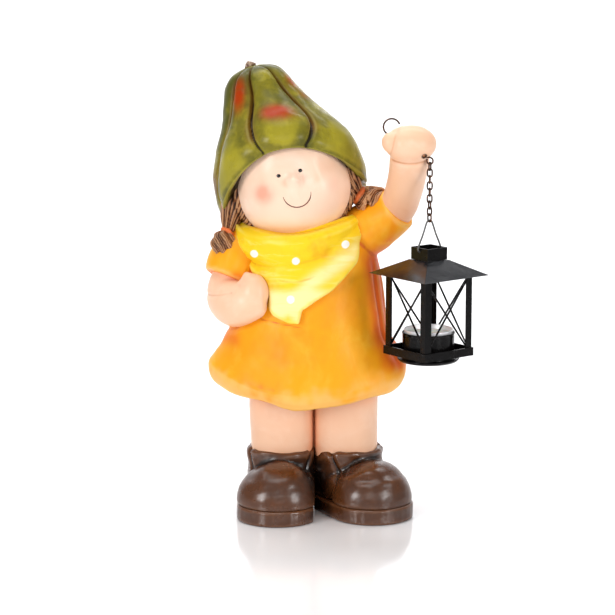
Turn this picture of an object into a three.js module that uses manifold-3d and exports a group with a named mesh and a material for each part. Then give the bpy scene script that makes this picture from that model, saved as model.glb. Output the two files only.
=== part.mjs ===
// A garden gnome girl with a pumpkin hat, holding a tealight lantern on a chain.
// Millimetres, +Z up. The figure faces -Y; the raised hand with the lantern is on her +X side.
import * as THREE from 'three';
import { mergeVertices } from 'three/addons/utils/BufferGeometryUtils.js';
import Module from 'manifold-3d';

const wasm = await Module();
wasm.setup();

// ---- driving dimensions ------------------------------------------------------------------------
const GAP = 0.3; // bond line, or running clearance, between neighbouring pieces
const SOLE_HEIGHT = 12;
const LEG_X = 25.2; // half the distance between the leg centres
const LEG = { halfWidth: 25, halfDepth: 27, top: 116 };
const LEFT_SPLAY = THREE.MathUtils.degToRad(-5); // toe angle of the boot on the -X side
const RIGHT_SPLAY = THREE.MathUtils.degToRad(33);
const TOE_REACH = 37; // from the leg centre to the middle of the toe cap
const HEAD = { x: -15, y: -6, z: 256, lean: THREE.MathUtils.degToRad(-14) };
const HAT_LEAN = THREE.MathUtils.degToRad(-13);
const HAT_BASE = new THREE.Vector3(-16, 2, 250);

const WIRE = 1.3; // hook and bail wire
const LINK = { wire: 1.0, width: 4.8, length: 7.2 };
const LINK_COUNT = 9;
const LINK_PITCH = LINK.length - 2 * LINK.wire - GAP;
const CHAIN_X = 87.2;
const CHAIN_Y = -57.5;
const EYE_RADIUS = 2.6;
const EYE_Z = 283;
const FIRST_LINK_Z = EYE_Z - EYE_RADIUS + (WIRE + LINK.wire) / 2 + GAP;
const LAST_BAR_Z = FIRST_LINK_Z - (LINK_COUNT - 1) * LINK_PITCH - (LINK.length - LINK.wire);
const BAIL_TOP_Z = LAST_BAR_Z + (WIRE + LINK.wire) / 2 + GAP;
const HOOK_HOLE = 5.2;
const HOLE_OVERRUN = 0.4; // share of the shank by which its hole runs past each end

const LANTERN_TURN = THREE.MathUtils.degToRad(38.3);
const LANTERN_BOTTOM = 129;
const BASE_SIDE = 48.8;
const SHEET = 0.8;
const TRAY_FLOOR = LANTERN_BOTTOM + 5.2; // underside of the tray
const TRAY_RIM = 6.4;
const POST_LEG = 6;
const EAVE_SIDE = 65.2;
const EAVE_Z = 196.4;
const COLLAR_SIDE = 19.6;
const COLLAR_Z = 208;
const COLLAR_HEIGHT = 9.4;
const BAIL_FOOT_Z = COLLAR_Z + COLLAR_HEIGHT - 3;
const CUP_RADIUS = 19.9;
const CUP = { top: 23, floor: 8.6, recess: 6.8 }; // heights above the underside of the disc
const DISC_RADIUS = 23.8;
const LUG = { reach: 0.9, width: 4.6, thick: 1 }; // the candle holder's two bayonet lugs
const NOTCH = { span: BASE_SIDE - 2.6, width: 6, turn: 25 }; // degrees from the lugs when locked
const TEALIGHT = { radius: 18.9, height: 16.5 };

// ---- materials ---------------------------------------------------------------------------------
function paint(color, roughness, metalness = 0) {
  return new THREE.MeshStandardMaterial({ color, roughness, metalness });
}

const skinPaint = () => paint(0xf6cfae, 0.5);
const hatGreen = () => paint(0x7f8430, 0.55);
const hairBrown = () => paint(0x7a4a26, 0.55);
const dressOrange = () => paint(0xf29a2e, 0.6);
const bootBrown = () => paint(0x4a3428, 0.45);
const blackMetal = () => paint(0x17181a, 0.35, 0.7);
const rustyMetal = () => paint(0x3a2a22, 0.5, 0.8);

// ---- solids ------------------------------------------------------------------------------------
function solid(geometry) {
  const bare = geometry.clone();
  bare.deleteAttribute('normal');
  bare.deleteAttribute('uv');
  const merged = mergeVertices(bare, 1e-4);
  return new wasm.Manifold(new wasm.Mesh({
    numProp: 3,
    vertProperties: new Float32Array(merged.attributes.position.array),
    triVerts: new Uint32Array(merged.index.array),
  }));
}

function geometryOf(body) {
  const { vertProperties, triVerts } = body.getMesh();
  const geometry = new THREE.BufferGeometry();
  geometry.setAttribute('position', new THREE.BufferAttribute(vertProperties, 3));
  geometry.setIndex(new THREE.BufferAttribute(triVerts, 1));
  geometry.computeVertexNormals();
  return geometry;
}

function named(name, shape, material) {
  const geometry = shape instanceof THREE.BufferGeometry ? shape : geometryOf(shape);
  const mesh = new THREE.Mesh(geometry, material);
  mesh.name = name;
  return mesh;
}

function reshape(geometry, move) {
  const position = geometry.attributes.position;
  const point = new THREE.Vector3();
  for (let i = 0; i < position.count; i += 1) {
    move(point.fromBufferAttribute(position, i));
    position.setXYZ(i, point.x, point.y, point.z);
  }
  return geometry;
}

// A closed skin through oval stations [x, y, z, halfWidth, halfDepth]; `grow` fattens it all round.
function loft(stations, { sides = 18, steps = 10, grow = 0, relief = () => 1 } = {}) {
  const spine = new THREE.CatmullRomCurve3(stations.map(([x, y, z]) => new THREE.Vector3(x, y, z)));
  const girth = new THREE.CatmullRomCurve3(
    stations.map(([, , , width, depth]) => new THREE.Vector3(width + grow, (depth ?? width) + grow, 0)),
  );
  const across = new THREE.Vector3(1, 0, 0);
  return reshape(new THREE.CylinderGeometry(1, 1, 1, sides, steps), (point) => {
    const t = point.y + 0.5;
    const half = girth.getPoint(t);
    const along = spine.getTangent(t);
    const deep = across.clone().cross(along).normalize();
    const wide = along.clone().cross(deep);
    const swell = relief(Math.atan2(point.x, point.z), t);
    const { x, z } = point;
    point.copy(spine.getPoint(t));
    point.addScaledVector(wide, x * half.x * swell).addScaledVector(deep, z * half.y * swell);
  });
}

function ball(x, y, z, rx, ry = rx, rz = rx, rings = 9) {
  return new THREE.SphereGeometry(1, 2 * rings, rings)
    .rotateX(Math.PI / 2)
    .scale(rx, ry, rz)
    .translate(x, y, z);
}

function box(width, depth, height, x = 0, y = 0, z = 0) {
  return new THREE.BoxGeometry(width, depth, height).translate(x, y, z + height / 2);
}

// An upright round bar standing on height z.
function disc(radius, height, x = 0, y = 0, z = 0, sides = 32) {
  return new THREE.CylinderGeometry(radius, radius, height, sides)
    .rotateX(Math.PI / 2)
    .translate(x, y, z + height / 2);
}

function bar(from, to, diameter, sides = 8) {
  const along = to.clone().sub(from);
  const direction = along.clone().normalize();
  const turn = new THREE.Quaternion().setFromUnitVectors(new THREE.Vector3(0, 1, 0), direction);
  const middle = from.clone().add(to).multiplyScalar(0.5);
  return new THREE.CylinderGeometry(diameter / 2, diameter / 2, along.length(), sides)
    .applyQuaternion(turn)
    .translate(middle.x, middle.y, middle.z);
}

// A six-sided wire swept along a curve.
function bentWire(curve, diameter, steps) {
  const section = new THREE.Shape().absarc(0, 0, diameter / 2, 0, 2 * Math.PI);
  return new THREE.ExtrudeGeometry(section, { extrudePath: curve, steps, curveSegments: 3 });
}

// Cutting clearance can leave a sliver behind; only the piece itself is kept.
function largest(shape) {
  return shape.decompose().reduce((best, body) => (body.volume() > best.volume() ? body : best));
}

// ---- legs and boots ----------------------------------------------------------------------------
function legSkin(side, grow = 0) {
  const { halfWidth, halfDepth, top } = LEG;
  const x = side * LEG_X;
  return solid(loft([
    [x, 0, SOLE_HEIGHT + 26, halfWidth, halfDepth],
    [x, 0, 62, halfWidth, halfDepth],
    [x, 0, 90, halfWidth, halfDepth + 1],
    [x, 0, top, halfWidth - 1, halfDepth],
  ], { steps: 4, grow }));
}

// The space on one side of the line where the two legs and boots meet.
function ownHalf(side) {
  return solid(box(200, 300, 300, side * (100 + GAP / 2), 0, -100));
}

function bootShape(side, splay) {
  const toe = ball(0, -TOE_REACH, 14, 31, 29, 30, 9);
  const instep = ball(0, -14, 18, 28, 30, 27, 7);
  const shaft = loft([
    [0, 2, 4, 28, 27],
    [0, 1, 25, 28, 28],
    [0, 0, 43, 27, 29],
    [0, 0, 50, 27, 29],
  ], { steps: 4 });
  const floor = box(200, 200, SOLE_HEIGHT + GAP, 0, 0, 0);
  const below = box(200, 200, 60, 0, 0, -60);
  return solid(toe).add(solid(instep)).add(solid(shaft))
    .subtract(solid(floor)).subtract(solid(below))
    .rotate([0, 0, THREE.MathUtils.radToDeg(splay)])
    .translate([side * LEG_X, 0, 0])
    .subtract(legSkin(side, GAP))
    .intersect(ownHalf(side));
}

function sole(side, splay) {
  const toe = 31.5;
  const heel = 28.5;
  const outline = new THREE.Shape();
  outline.absarc(0, -TOE_REACH, toe, Math.PI, 2 * Math.PI, false);
  outline.absarc(0, 0, heel, 0, Math.PI, false);
  const slab = new THREE.ExtrudeGeometry(outline, {
    depth: SOLE_HEIGHT - 2,
    bevelSize: 1,
    bevelThickness: 1,
    bevelSegments: 1,
    curveSegments: 8,
  });
  slab.translate(0, 0, 1).rotateZ(splay).translate(side * LEG_X, 0, 0);
  return solid(slab).intersect(ownHalf(side));
}

// ---- head, hair and hat ------------------------------------------------------------------------
function onHead(geometry) {
  return geometry.rotateY(HEAD.lean).translate(HEAD.x, HEAD.y, HEAD.z);
}

// Cheeks are wider than the chin is deep: the lower half of the head is flatter than the upper.
function headSkin(grow = 0) {
  const round = new THREE.SphereGeometry(1, 24, 14).rotateX(Math.PI / 2);
  return solid(onHead(reshape(round, (point) => {
    point.x *= 45.5 + grow;
    point.y *= 43 + grow;
    point.z *= (point.z > 0 ? 48 : 42) + grow;
  })));
}

function head() {
  const nose = solid(onHead(ball(2, -44, 11, 5.2, 5, 4.4, 6)));
  return headSkin().add(nose);
}

function hairSkin(grow = 0) {
  const cap = solid(onHead(reshape(new THREE.SphereGeometry(1, 20, 12).rotateX(Math.PI / 2), (point) => {
    point.x *= 50 + grow;
    point.y = point.y * (46 + grow) + 3;
    point.z *= (point.z > 0 ? 50 : 42) + grow;
  })));
  const face = solid(onHead(box(200, 100, 200, 0, -50 - 14 - grow, -100)));
  return cap.subtract(face).add(lockLeft(grow)).add(lockRight(grow));
}

function hair() {
  return largest(hairSkin().subtract(headSkin(GAP)).subtract(tails(GAP)));
}

function lockLeft(grow) {
  return solid(loft([
    [-58, -5, 246, 7.5], [-61, -7, 236, 7], [-64, -9.5, 228, 5.6], [-65.8, -11.4, 222, 4],
  ], { sides: 14, steps: 6, grow }));
}

function lockRight(grow) {
  return solid(loft([
    [26, -6, 266, 8], [29.5, -7, 259, 7], [32.2, -7.6, 254, 5.4], [33.8, -8, 251.2, 4],
  ], { sides: 14, steps: 6, grow }));
}

const LEFT_TIE = {
  at: new THREE.Vector3(-66.4, -12, 220.6),
  along: new THREE.Vector3(-0.6, -0.35, -0.72),
  radius: 4.9,
  thick: 1.6,
};
const RIGHT_TIE = {
  at: new THREE.Vector3(34.8, -8.2, 250),
  along: new THREE.Vector3(0.82, 0, -0.57),
  radius: 5.4,
  thick: 2,
};

function hairTie({ at, along, radius, thick }, grow = 0) {
  const ring = new THREE.TorusGeometry(radius, thick + grow, 6, 12);
  const direction = along.clone().normalize();
  const turn = new THREE.Quaternion().setFromUnitVectors(new THREE.Vector3(0, 0, 1), direction);
  return solid(ring.applyQuaternion(turn).translate(at.x, at.y, at.z));
}

function pigtail(stations) {
  return solid(loft(stations, { sides: 14, steps: 8 }));
}

// The right pigtail is pressed between the shoulder and the raised arm.
function rightPigtail() {
  return pigtail(rightTail()).subtract(hairTie(RIGHT_TIE, GAP))
    .subtract(bodySkin(GAP)).subtract(raisedArmSkin(GAP));
}

// Both pigtails and their ties as one body, for cutting clearance in what lies against them.
function tails(grow) {
  return pigtail(leftTail(grow)).add(pigtail(rightTail(grow)))
    .add(hairTie(LEFT_TIE, grow)).add(hairTie(RIGHT_TIE, grow));
}

const leftTail = (grow = 0) => [
  [-66.8, -12.6, 219.8, 3.2 + grow], [-68.4, -14.5, 217, 8.2 + grow], [-69.4, -16, 212.6, 9.8 + grow],
  [-70, -17, 207.8, 7.6 + grow], [-70.2, -17, 204.4, 2.6 + grow],
];
const rightTail = (grow = 0) => [
  [35.6, -8.4, 249.4, 3.4 + grow], [38.6, -9, 247, 9 + grow], [43, -9.5, 246, 11 + grow],
  [48.6, -9, 249, 8.6 + grow], [53.6, -8.6, 253.4, 2.6 + grow],
];

// [height, radius] up the crown
const HAT_PROFILE = [
  [-4, 58.5], [10, 59.5], [28, 56.5], [45, 49], [62, 38], [80, 29], [92, 24], [100, 17], [104, 4],
];
const HAT_RISE = { front: 47, back: 20 }; // how far the brim rises over the brow and dips behind
const HAT_SWAY = 8; // how far the tip hangs over to the -X side

// The crown is a row of soft lobes, like a pumpkin, that stand out most near the top.
function hatSkin(grow = 0) {
  const stations = HAT_PROFILE.map(([height, radius]) => [0, 0, height, radius, radius * 0.95]);
  const lobes = (angle, t) => 1 + (0.02 + 0.09 * t) * (Math.abs(Math.cos(3.5 * angle)) - 0.6);
  const shape = loft(stations, { sides: 42, steps: 11, grow, relief: lobes });
  reshape(shape, (point) => {
    const round = Math.hypot(point.x, point.y);
    const front = round > 1 ? -point.y / round : 0;
    const rise = front > 0 ? HAT_RISE.front * front ** 1.5 : HAT_RISE.back * front;
    point.x -= HAT_SWAY * THREE.MathUtils.smoothstep(point.z, 30, 100);
    point.z += rise * Math.max(0, 1 - (point.z + 4) / 104) ** 1.3;
  });
  return solid(shape.rotateY(HAT_LEAN).translate(HAT_BASE.x, HAT_BASE.y, HAT_BASE.z));
}

function hat() {
  return hatSkin().subtract(headSkin(GAP)).subtract(hairSkin(GAP)).subtract(tails(GAP));
}

function hatStem() {
  return solid(loft([
    [-50.5, 2, 338, 5, 5], [-50.3, 2.4, 344, 4.4, 4.4], [-49.4, 3, 348, 4, 4], [-48.2, 3.6, 352, 3.2, 3.2],
  ], { sides: 12, steps: 5 })).subtract(hatSkin(GAP));
}

// ---- dress, scarf and arms ---------------------------------------------------------------------
const DRESS = [
  [-4, 1, 90, 72, 56], [-4, 1, 98, 77.5, 61], [-4, 0.5, 107, 78, 61.5], [-4.5, -1, 121, 71, 57],
  [-5, -1, 138, 64, 53.5],
  [-4.5, 0, 160, 60.5, 51], [-5, 1, 185, 57.5, 48], [-6, 1, 205, 53, 44], [-8, 0, 218, 44, 37],
  [-11, 0, 228, 30, 28], [-12, 0, 233, 16, 16],
];
const LEFT_SLEEVE = [
  [-26, 0, 214, 15, 15], [-48, -4, 207, 22, 21], [-60, -9, 196, 23, 22], [-66, -13, 184, 21, 22],
];
const RIGHT_SLEEVE = [
  [16, 0, 212, 18, 18], [40, -3, 222, 21, 21], [55, -8, 232, 19, 19], [65.5, -13, 241, 17, 18],
];

const SIDE_LIFT = 14; // how much higher the hem hangs at the sides than at the front

function liftSides(geometry) {
  return reshape(geometry, (point) => {
    const aside = Math.min(1, Math.abs(point.x + 4) / 78);
    const low = 1 - THREE.MathUtils.smoothstep(point.z, 95, 160);
    point.z += SIDE_LIFT * low * aside ** 2;
  });
}

function bodySkin(grow = 0) {
  const hemWaves = (angle, t) => 1 + 0.02 * Math.cos(6 * angle) * Math.max(0, 1 - 5 * t);
  const bell = solid(liftSides(loft(DRESS, { sides: 30, steps: 13, grow, relief: hemWaves })));
  const leftSleeve = solid(loft(LEFT_SLEEVE, { steps: 6, grow }));
  const rightSleeve = solid(loft(RIGHT_SLEEVE, { steps: 6, grow }));
  return bell.add(leftSleeve).add(rightSleeve);
}

function dress() {
  const underside = solid(liftSides(loft([
    [-4, 0, 78, 65, 49], [-4, 0, 96, 66, 50], [-4, 0, 102, 58, 43],
  ], { steps: 4 })));
  return bodySkin()
    .subtract(underside)
    .subtract(legSkin(-1, GAP)).subtract(legSkin(1, GAP))
    .subtract(headSkin(GAP)).subtract(hairSkin(GAP))
    .subtract(pocketArmSkin(GAP)).subtract(raisedArmSkin(GAP)).subtract(tails(GAP));
}

// The scarf's front is a bib with its corner down, wrapped close round the chest.
const BIB = [
  [-60, 212], [-54.3, 203.7], [-47.5, 195.5], [-37.5, 186], [-34, 176.5], [-34, 168], [-31, 163.5],
  [-19.3, 158], [-12, 157.5], [-10, 168], [-0.6, 174], [14, 183], [23.5, 192], [31.5, 201], [35, 213],
  [36, 233], [34, 262], [-60, 262],
];

function neckerchief() {
  const wrap = solid(loft(
    DRESS.slice(4).map(([x, y, z, width, depth]) => [x, y - 1.5, z, width + 4, depth + 4]),
    { sides: 30, steps: 9 },
  ));
  const collar = solid(reshape(loft([
    [-14, -3, 203, 48, 42], [-14, -4, 212, 49, 46], [-13, -5, 219, 47, 46.5], [-13, -5, 224, 42, 43],
  ], { sides: 26, steps: 4 }), (point) => {
    const aside = (point.x + 14) / 40;
    point.z += 7 * aside ** 2 + 3 * aside;
  }));
  const bib = new THREE.Shape();
  bib.moveTo(...BIB[0]);
  for (const corner of BIB.slice(1)) {
    bib.lineTo(...corner);
  }
  const slab = new THREE.ExtrudeGeometry(bib, { depth: 90, bevelEnabled: false });
  const front = solid(slab.rotateX(Math.PI / 2));
  return wrap.intersect(front).add(collar)
    .subtract(bodySkin(GAP)).subtract(headSkin(GAP)).subtract(hairSkin(GAP))
    .subtract(hatSkin(GAP).translate([0, 0, -2 * GAP])).subtract(hatSkin(GAP))
    .subtract(raisedArmSkin(GAP)).subtract(pocketArmSkin(GAP)).subtract(tails(GAP));
}

// Upper arm straight down out of the sleeve, elbow bent, hand sunk in the front pocket.
function pocketArmSkin(grow = 0) {
  const hand = solid(ball(-46, -44, 179.5, 11.5 + grow, 12 + grow, 15 + grow, 8));
  return hand.add(solid(loft([
    [-58, -9, 196, 13, 13], [-64, -12, 184, 16.5, 16.5], [-66.5, -18, 172, 17, 18],
    [-61, -32, 169, 16.5, 18], [-50, -43, 172, 14.5, 16], [-41, -48, 173, 10, 12], [-37, -49, 173.5, 6, 8],
  ], { steps: 14, grow })));
}

function raisedArmSkin(grow = 0) {
  const arm = solid(loft([
    [56, -8, 229, 11, 11], [64, -13, 240, 14, 14], [69, -24, 256, 14.4, 14.6], [71.5, -36, 272, 14.6, 15],
    [72.5, -46, 286, 15, 15], [72.5, -51, 292, 13, 13],
  ], { steps: 9, grow }));
  const fist = solid(ball(72.5, -51, 295, 20 + grow, 16 + grow, 14.5 + grow));
  const thumb = solid(ball(57.5, -56, 296.5, 7 + grow, 7 + grow, 8 + grow, 6));
  return arm.add(fist).add(thumb);
}

// ---- hook and chain ----------------------------------------------------------------------------
const CROOK = { x: 58.7, z: 307, radius: 6.3, from: 4.2, to: 0.35 };
const SHANK_TOP = new THREE.Vector3(
  CROOK.x + CROOK.radius * Math.cos(CROOK.from), -43, CROOK.z + CROOK.radius * Math.sin(CROOK.from),
);
const SHANK_FOOT = new THREE.Vector3(84, -56, 285.5);
const EYE_TURN = Math.atan2(SHANK_FOOT.y - SHANK_TOP.y, SHANK_FOOT.x - SHANK_TOP.x);
// Each link crosses the one above, and the chain has a slight twist from the eye down to the bail.
const CHAIN_TWIST = (LANTERN_TURN - EYE_TURN) / (LINK_COUNT - 1);

function raisedArm() {
  const line = SHANK_FOOT.clone().sub(SHANK_TOP);
  const above = SHANK_TOP.clone().addScaledVector(line, -HOLE_OVERRUN);
  const below = SHANK_FOOT.clone().addScaledVector(line, HOLE_OVERRUN);
  return raisedArmSkin().subtract(solid(bar(above, below, HOOK_HOLE, 12)));
}

// Crook at the top, straight shank through the fist, and an open-ended eye that carries the chain.
function hookCurve() {
  const points = [];
  for (let step = 10; step >= 0; step -= 1) {
    const angle = CROOK.from + (CROOK.to - CROOK.from) * (step / 10);
    points.push(new THREE.Vector3(
      CROOK.x + CROOK.radius * Math.cos(angle), SHANK_TOP.y, CROOK.z + CROOK.radius * Math.sin(angle),
    ));
  }
  for (const part of [0.3, 0.65, 1]) {
    points.push(SHANK_TOP.clone().lerp(SHANK_FOOT, part));
  }
  for (let step = 0; step <= 8; step += 1) {
    const angle = THREE.MathUtils.degToRad(95 - 38 * step);
    const reach = EYE_RADIUS * Math.cos(angle);
    points.push(new THREE.Vector3(
      CHAIN_X + reach * Math.cos(EYE_TURN), CHAIN_Y + reach * Math.sin(EYE_TURN),
      EYE_Z + EYE_RADIUS * Math.sin(angle),
    ));
  }
  return new THREE.CatmullRomCurve3(points);
}

// An oval ring standing upright in the XZ plane with its upper bar's middle at the origin.
function chainLink() {
  const radius = (LINK.width - LINK.wire) / 2;
  const straight = LINK.length - LINK.width;
  const ring = new THREE.TorusGeometry(radius, LINK.wire / 2, 6, 16).rotateX(Math.PI / 2);
  return reshape(ring, (point) => {
    const end = Math.abs(point.z) < 1e-6 ? 0 : Math.sign(point.z);
    point.z += (end * straight) / 2 - radius - straight / 2;
  });
}

// ---- lantern, in its own frame: upright axis at x = y = 0, sides along x and y -------------------
function tray() {
  const bay = BASE_SIDE - 2 * SHEET;
  const outer = solid(box(BASE_SIDE, BASE_SIDE, TRAY_RIM, 0, 0, TRAY_FLOOR));
  const inside = solid(box(bay, bay, TRAY_RIM, 0, 0, TRAY_FLOOR + SHEET));
  const hole = solid(disc(CUP_RADIUS + GAP, 3 * SHEET, 0, 0, TRAY_FLOOR - SHEET));
  const notches = solid(box(NOTCH.span, NOTCH.width, 3 * SHEET, 0, 0, TRAY_FLOOR - SHEET));
  return outer.subtract(inside).subtract(hole).subtract(notches.rotate([0, 0, NOTCH.turn]));
}

function post(sideX, sideY) {
  const foot = TRAY_FLOOR + SHEET + GAP;
  const height = EAVE_Z - foot - GAP;
  const inset = BASE_SIDE / 2 - SHEET - GAP;
  const corner = solid(box(POST_LEG, POST_LEG, height, inset - POST_LEG / 2, inset - POST_LEG / 2, foot));
  const cut = inset - SHEET - POST_LEG / 2;
  const angle = corner.subtract(solid(box(POST_LEG, POST_LEG, height + 2, cut, cut, foot - 1)));
  const turns = { '1,1': 0, '-1,1': 90, '-1,-1': 180, '1,-1': 270 };
  return angle.rotate([0, 0, turns[`${sideX},${sideY}`]]);
}

// Two crossing wires on each side run from the head of one post to the foot of the next.
function crossWire(side, lean) {
  const inset = BASE_SIDE / 2 - SHEET - GAP - SHEET - GAP;
  const reach = inset - 2;
  const y = -(inset - WIRE / 2 - (lean > 0 ? 0 : 1.0 + GAP));
  const wire = bar(
    new THREE.Vector3(-lean * reach, y, TRAY_FLOOR + TRAY_RIM + 0.6),
    new THREE.Vector3(lean * reach, y, EAVE_Z - 2.4),
    1.0, 6,
  );
  return wire.rotateZ((side * Math.PI) / 2);
}

function pyramid(bottomSide, topSide, z0, z1) {
  return new THREE.CylinderGeometry(topSide / Math.SQRT2, bottomSide / Math.SQRT2, z1 - z0, 4)
    .rotateY(Math.PI / 4).rotateX(Math.PI / 2).translate(0, 0, (z0 + z1) / 2);
}

// A folded sheet, open below and open under the chimney collar.
function roof() {
  const slope = solid(pyramid(EAVE_SIDE, COLLAR_SIDE + 2, EAVE_Z, COLLAR_Z - GAP));
  const hollow = solid(pyramid(EAVE_SIDE, COLLAR_SIDE + 2, EAVE_Z - SHEET, COLLAR_Z - GAP - SHEET));
  const vent = solid(box(COLLAR_SIDE - 5, COLLAR_SIDE - 5, 10, 0, 0, COLLAR_Z - 5));
  return slope.subtract(hollow).subtract(vent);
}

// The chimney collar is a short square tube, drilled on two sides for the bail.
function collar() {
  const inner = COLLAR_SIDE - 2 * SHEET;
  const outer = solid(box(COLLAR_SIDE, COLLAR_SIDE, COLLAR_HEIGHT, 0, 0, COLLAR_Z));
  const bore = solid(box(inner, inner, COLLAR_HEIGHT + 2, 0, 0, COLLAR_Z - 1));
  const holes = solid(bar(
    new THREE.Vector3(-COLLAR_SIDE, 0, BAIL_FOOT_Z), new THREE.Vector3(COLLAR_SIDE, 0, BAIL_FOOT_Z),
    WIRE + 2 * GAP, 12,
  ));
  return outer.subtract(bore).subtract(holes);
}

function bail(topZ) {
  const foot = COLLAR_SIDE / 2;
  const points = [
    [-foot + 2, BAIL_FOOT_Z], [-foot - 0.6, BAIL_FOOT_Z], [-foot - 1.6, BAIL_FOOT_Z + 1.4],
    [-6.4, (BAIL_FOOT_Z + topZ) / 2 + 1], [-2.6, topZ - 1.6], [-1.6, topZ - 0.3], [0, topZ],
  ];
  const mirrored = points.slice(0, -1).reverse().map(([x, z]) => [-x, z]);
  const knots = [...points, ...mirrored].map(([x, z]) => new THREE.Vector3(x, 0, z));
  return bentWire(new THREE.CatmullRomCurve3(knots), WIRE, 32);
}

function candleHolder() {
  const base = solid(disc(DISC_RADIUS, TRAY_FLOOR - GAP - LANTERN_BOTTOM, 0, 0, LANTERN_BOTTOM));
  const wall = solid(disc(CUP_RADIUS, CUP.top - 0.5, 0, 0, LANTERN_BOTTOM + 0.5));
  const well = solid(disc(CUP_RADIUS - SHEET, CUP.top, 0, 0, LANTERN_BOTTOM + CUP.floor));
  const recess = solid(disc(CUP_RADIUS - SHEET, CUP.recess + 1, 0, 0, LANTERN_BOTTOM - 1));
  const span = 2 * (CUP_RADIUS + LUG.reach);
  const lugs = solid(box(span, LUG.width, LUG.thick, 0, 0, TRAY_FLOOR + SHEET + GAP));
  return base.add(wall).add(lugs).subtract(well).subtract(recess);
}

const TEALIGHT_Z = LANTERN_BOTTOM + CUP.floor + GAP;

function tealightCup() {
  const { radius, height } = TEALIGHT;
  const section = [
    [0, 0], [radius - 0.6, 0], [radius, 0.6], [radius, height], [radius - 0.5, height],
    [radius - 0.5, 0.9], [0, 0.5],
  ].map(([x, y]) => new THREE.Vector2(x, y));
  return new THREE.LatheGeometry(section, 24).rotateX(Math.PI / 2).translate(0, 0, TEALIGHT_Z);
}

function wax() {
  const radius = TEALIGHT.radius - 0.5 - GAP;
  const body = solid(disc(radius, TEALIGHT.height - 4.5, 0, 0, TEALIGHT_Z + 0.9 + GAP));
  const wickHole = solid(disc(0.6 + GAP, 40, 0, 0, TEALIGHT_Z + 3, 8));
  return body.subtract(wickHole);
}

const wick = () => disc(0.6, TEALIGHT.height - 4, 0, 0, TEALIGHT_Z + 3 + GAP, 8);

// ---- assembly ----------------------------------------------------------------------------------
function figure() {
  const group = new THREE.Group();
  group.add(
    named('sole_left', sole(-1, LEFT_SPLAY), bootBrown()),
    named('sole_right', sole(1, RIGHT_SPLAY), bootBrown()),
    named('boot_left', bootShape(-1, LEFT_SPLAY), bootBrown()),
    named('boot_right', bootShape(1, RIGHT_SPLAY), bootBrown()),
    named('leg_left', legSkin(-1), skinPaint()),
    named('leg_right', legSkin(1), skinPaint()),
    named('dress', dress(), dressOrange()),
    named('neckerchief', neckerchief(), paint(0xf7d53a, 0.6)),
    named('pocket_arm', pocketArmSkin(), skinPaint()),
    named('raised_arm', raisedArm(), skinPaint()),
    named('head', head(), skinPaint()),
    named('hair', hair(), hairBrown()),
    named('hair_tie_left', hairTie(LEFT_TIE), paint(0xd8542a, 0.5)),
    named('hair_tie_right', hairTie(RIGHT_TIE), paint(0xd8542a, 0.5)),
    named('pigtail_left', pigtail(leftTail()).subtract(hairTie(LEFT_TIE, GAP)), hairBrown()),
    named('pigtail_right', rightPigtail(), hairBrown()),
    named('hat', hat(), hatGreen()),
    named('hat_stem', hatStem(), paint(0x9a7a52, 0.7)),
  );
  return group;
}

function hookAndChain() {
  const group = new THREE.Group();
  group.add(named('lantern_hook', bentWire(hookCurve(), WIRE, 54), rustyMetal()));
  for (let index = 0; index < LINK_COUNT; index += 1) {
    const link = named(`chain_link_${index + 1}`, chainLink(), rustyMetal());
    link.position.set(CHAIN_X, CHAIN_Y, FIRST_LINK_Z - index * LINK_PITCH);
    link.rotation.z = EYE_TURN + Math.PI / 2 + index * (Math.PI / 2 + CHAIN_TWIST);
    group.add(link);
  }
  return group;
}

function lantern() {
  const group = new THREE.Group();
  group.position.set(CHAIN_X, CHAIN_Y, 0);
  group.rotation.z = LANTERN_TURN;
  group.add(
    named('lantern_bail', bail(BAIL_TOP_Z), blackMetal()),
    named('lantern_collar', collar(), blackMetal()),
    named('lantern_roof', roof(), blackMetal()),
    named('base_tray', tray(), blackMetal()),
    named('candle_holder', candleHolder(), blackMetal()),
    named('tealight_cup', tealightCup(), paint(0xd9dbdd, 0.3, 0.9)),
    named('tealight_wax', wax(), paint(0xf7f4ec, 0.45)),
    named('tealight_wick', wick(), paint(0xe8e2d2, 0.8)),
  );
  for (const [name, sideX, sideY] of [['a', 1, 1], ['b', -1, 1], ['c', -1, -1], ['d', 1, -1]]) {
    group.add(named(`corner_post_${name}`, post(sideX, sideY), blackMetal()));
  }
  for (let side = 0; side < 4; side += 1) {
    group.add(named(`cross_wire_${side + 1}_outer`, crossWire(side, 1), blackMetal()));
    group.add(named(`cross_wire_${side + 1}_inner`, crossWire(side, -1), blackMetal()));
  }
  return group;
}

const gnome = new THREE.Group();
gnome.add(figure(), hookAndChain(), lantern());
const extent = new THREE.Box3().setFromObject(gnome, true);
gnome.position.set(-(extent.min.x + extent.max.x) / 2, -(extent.min.y + extent.max.y) / 2, -extent.min.z);

export default gnome;
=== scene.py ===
"""A ceramic garden gnome with a pumpkin hat, holding a tealight lantern on a chain."""
import math

import bmesh
import bpy
import numpy as np
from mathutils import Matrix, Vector
from mathutils.bvhtree import BVHTree


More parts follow.
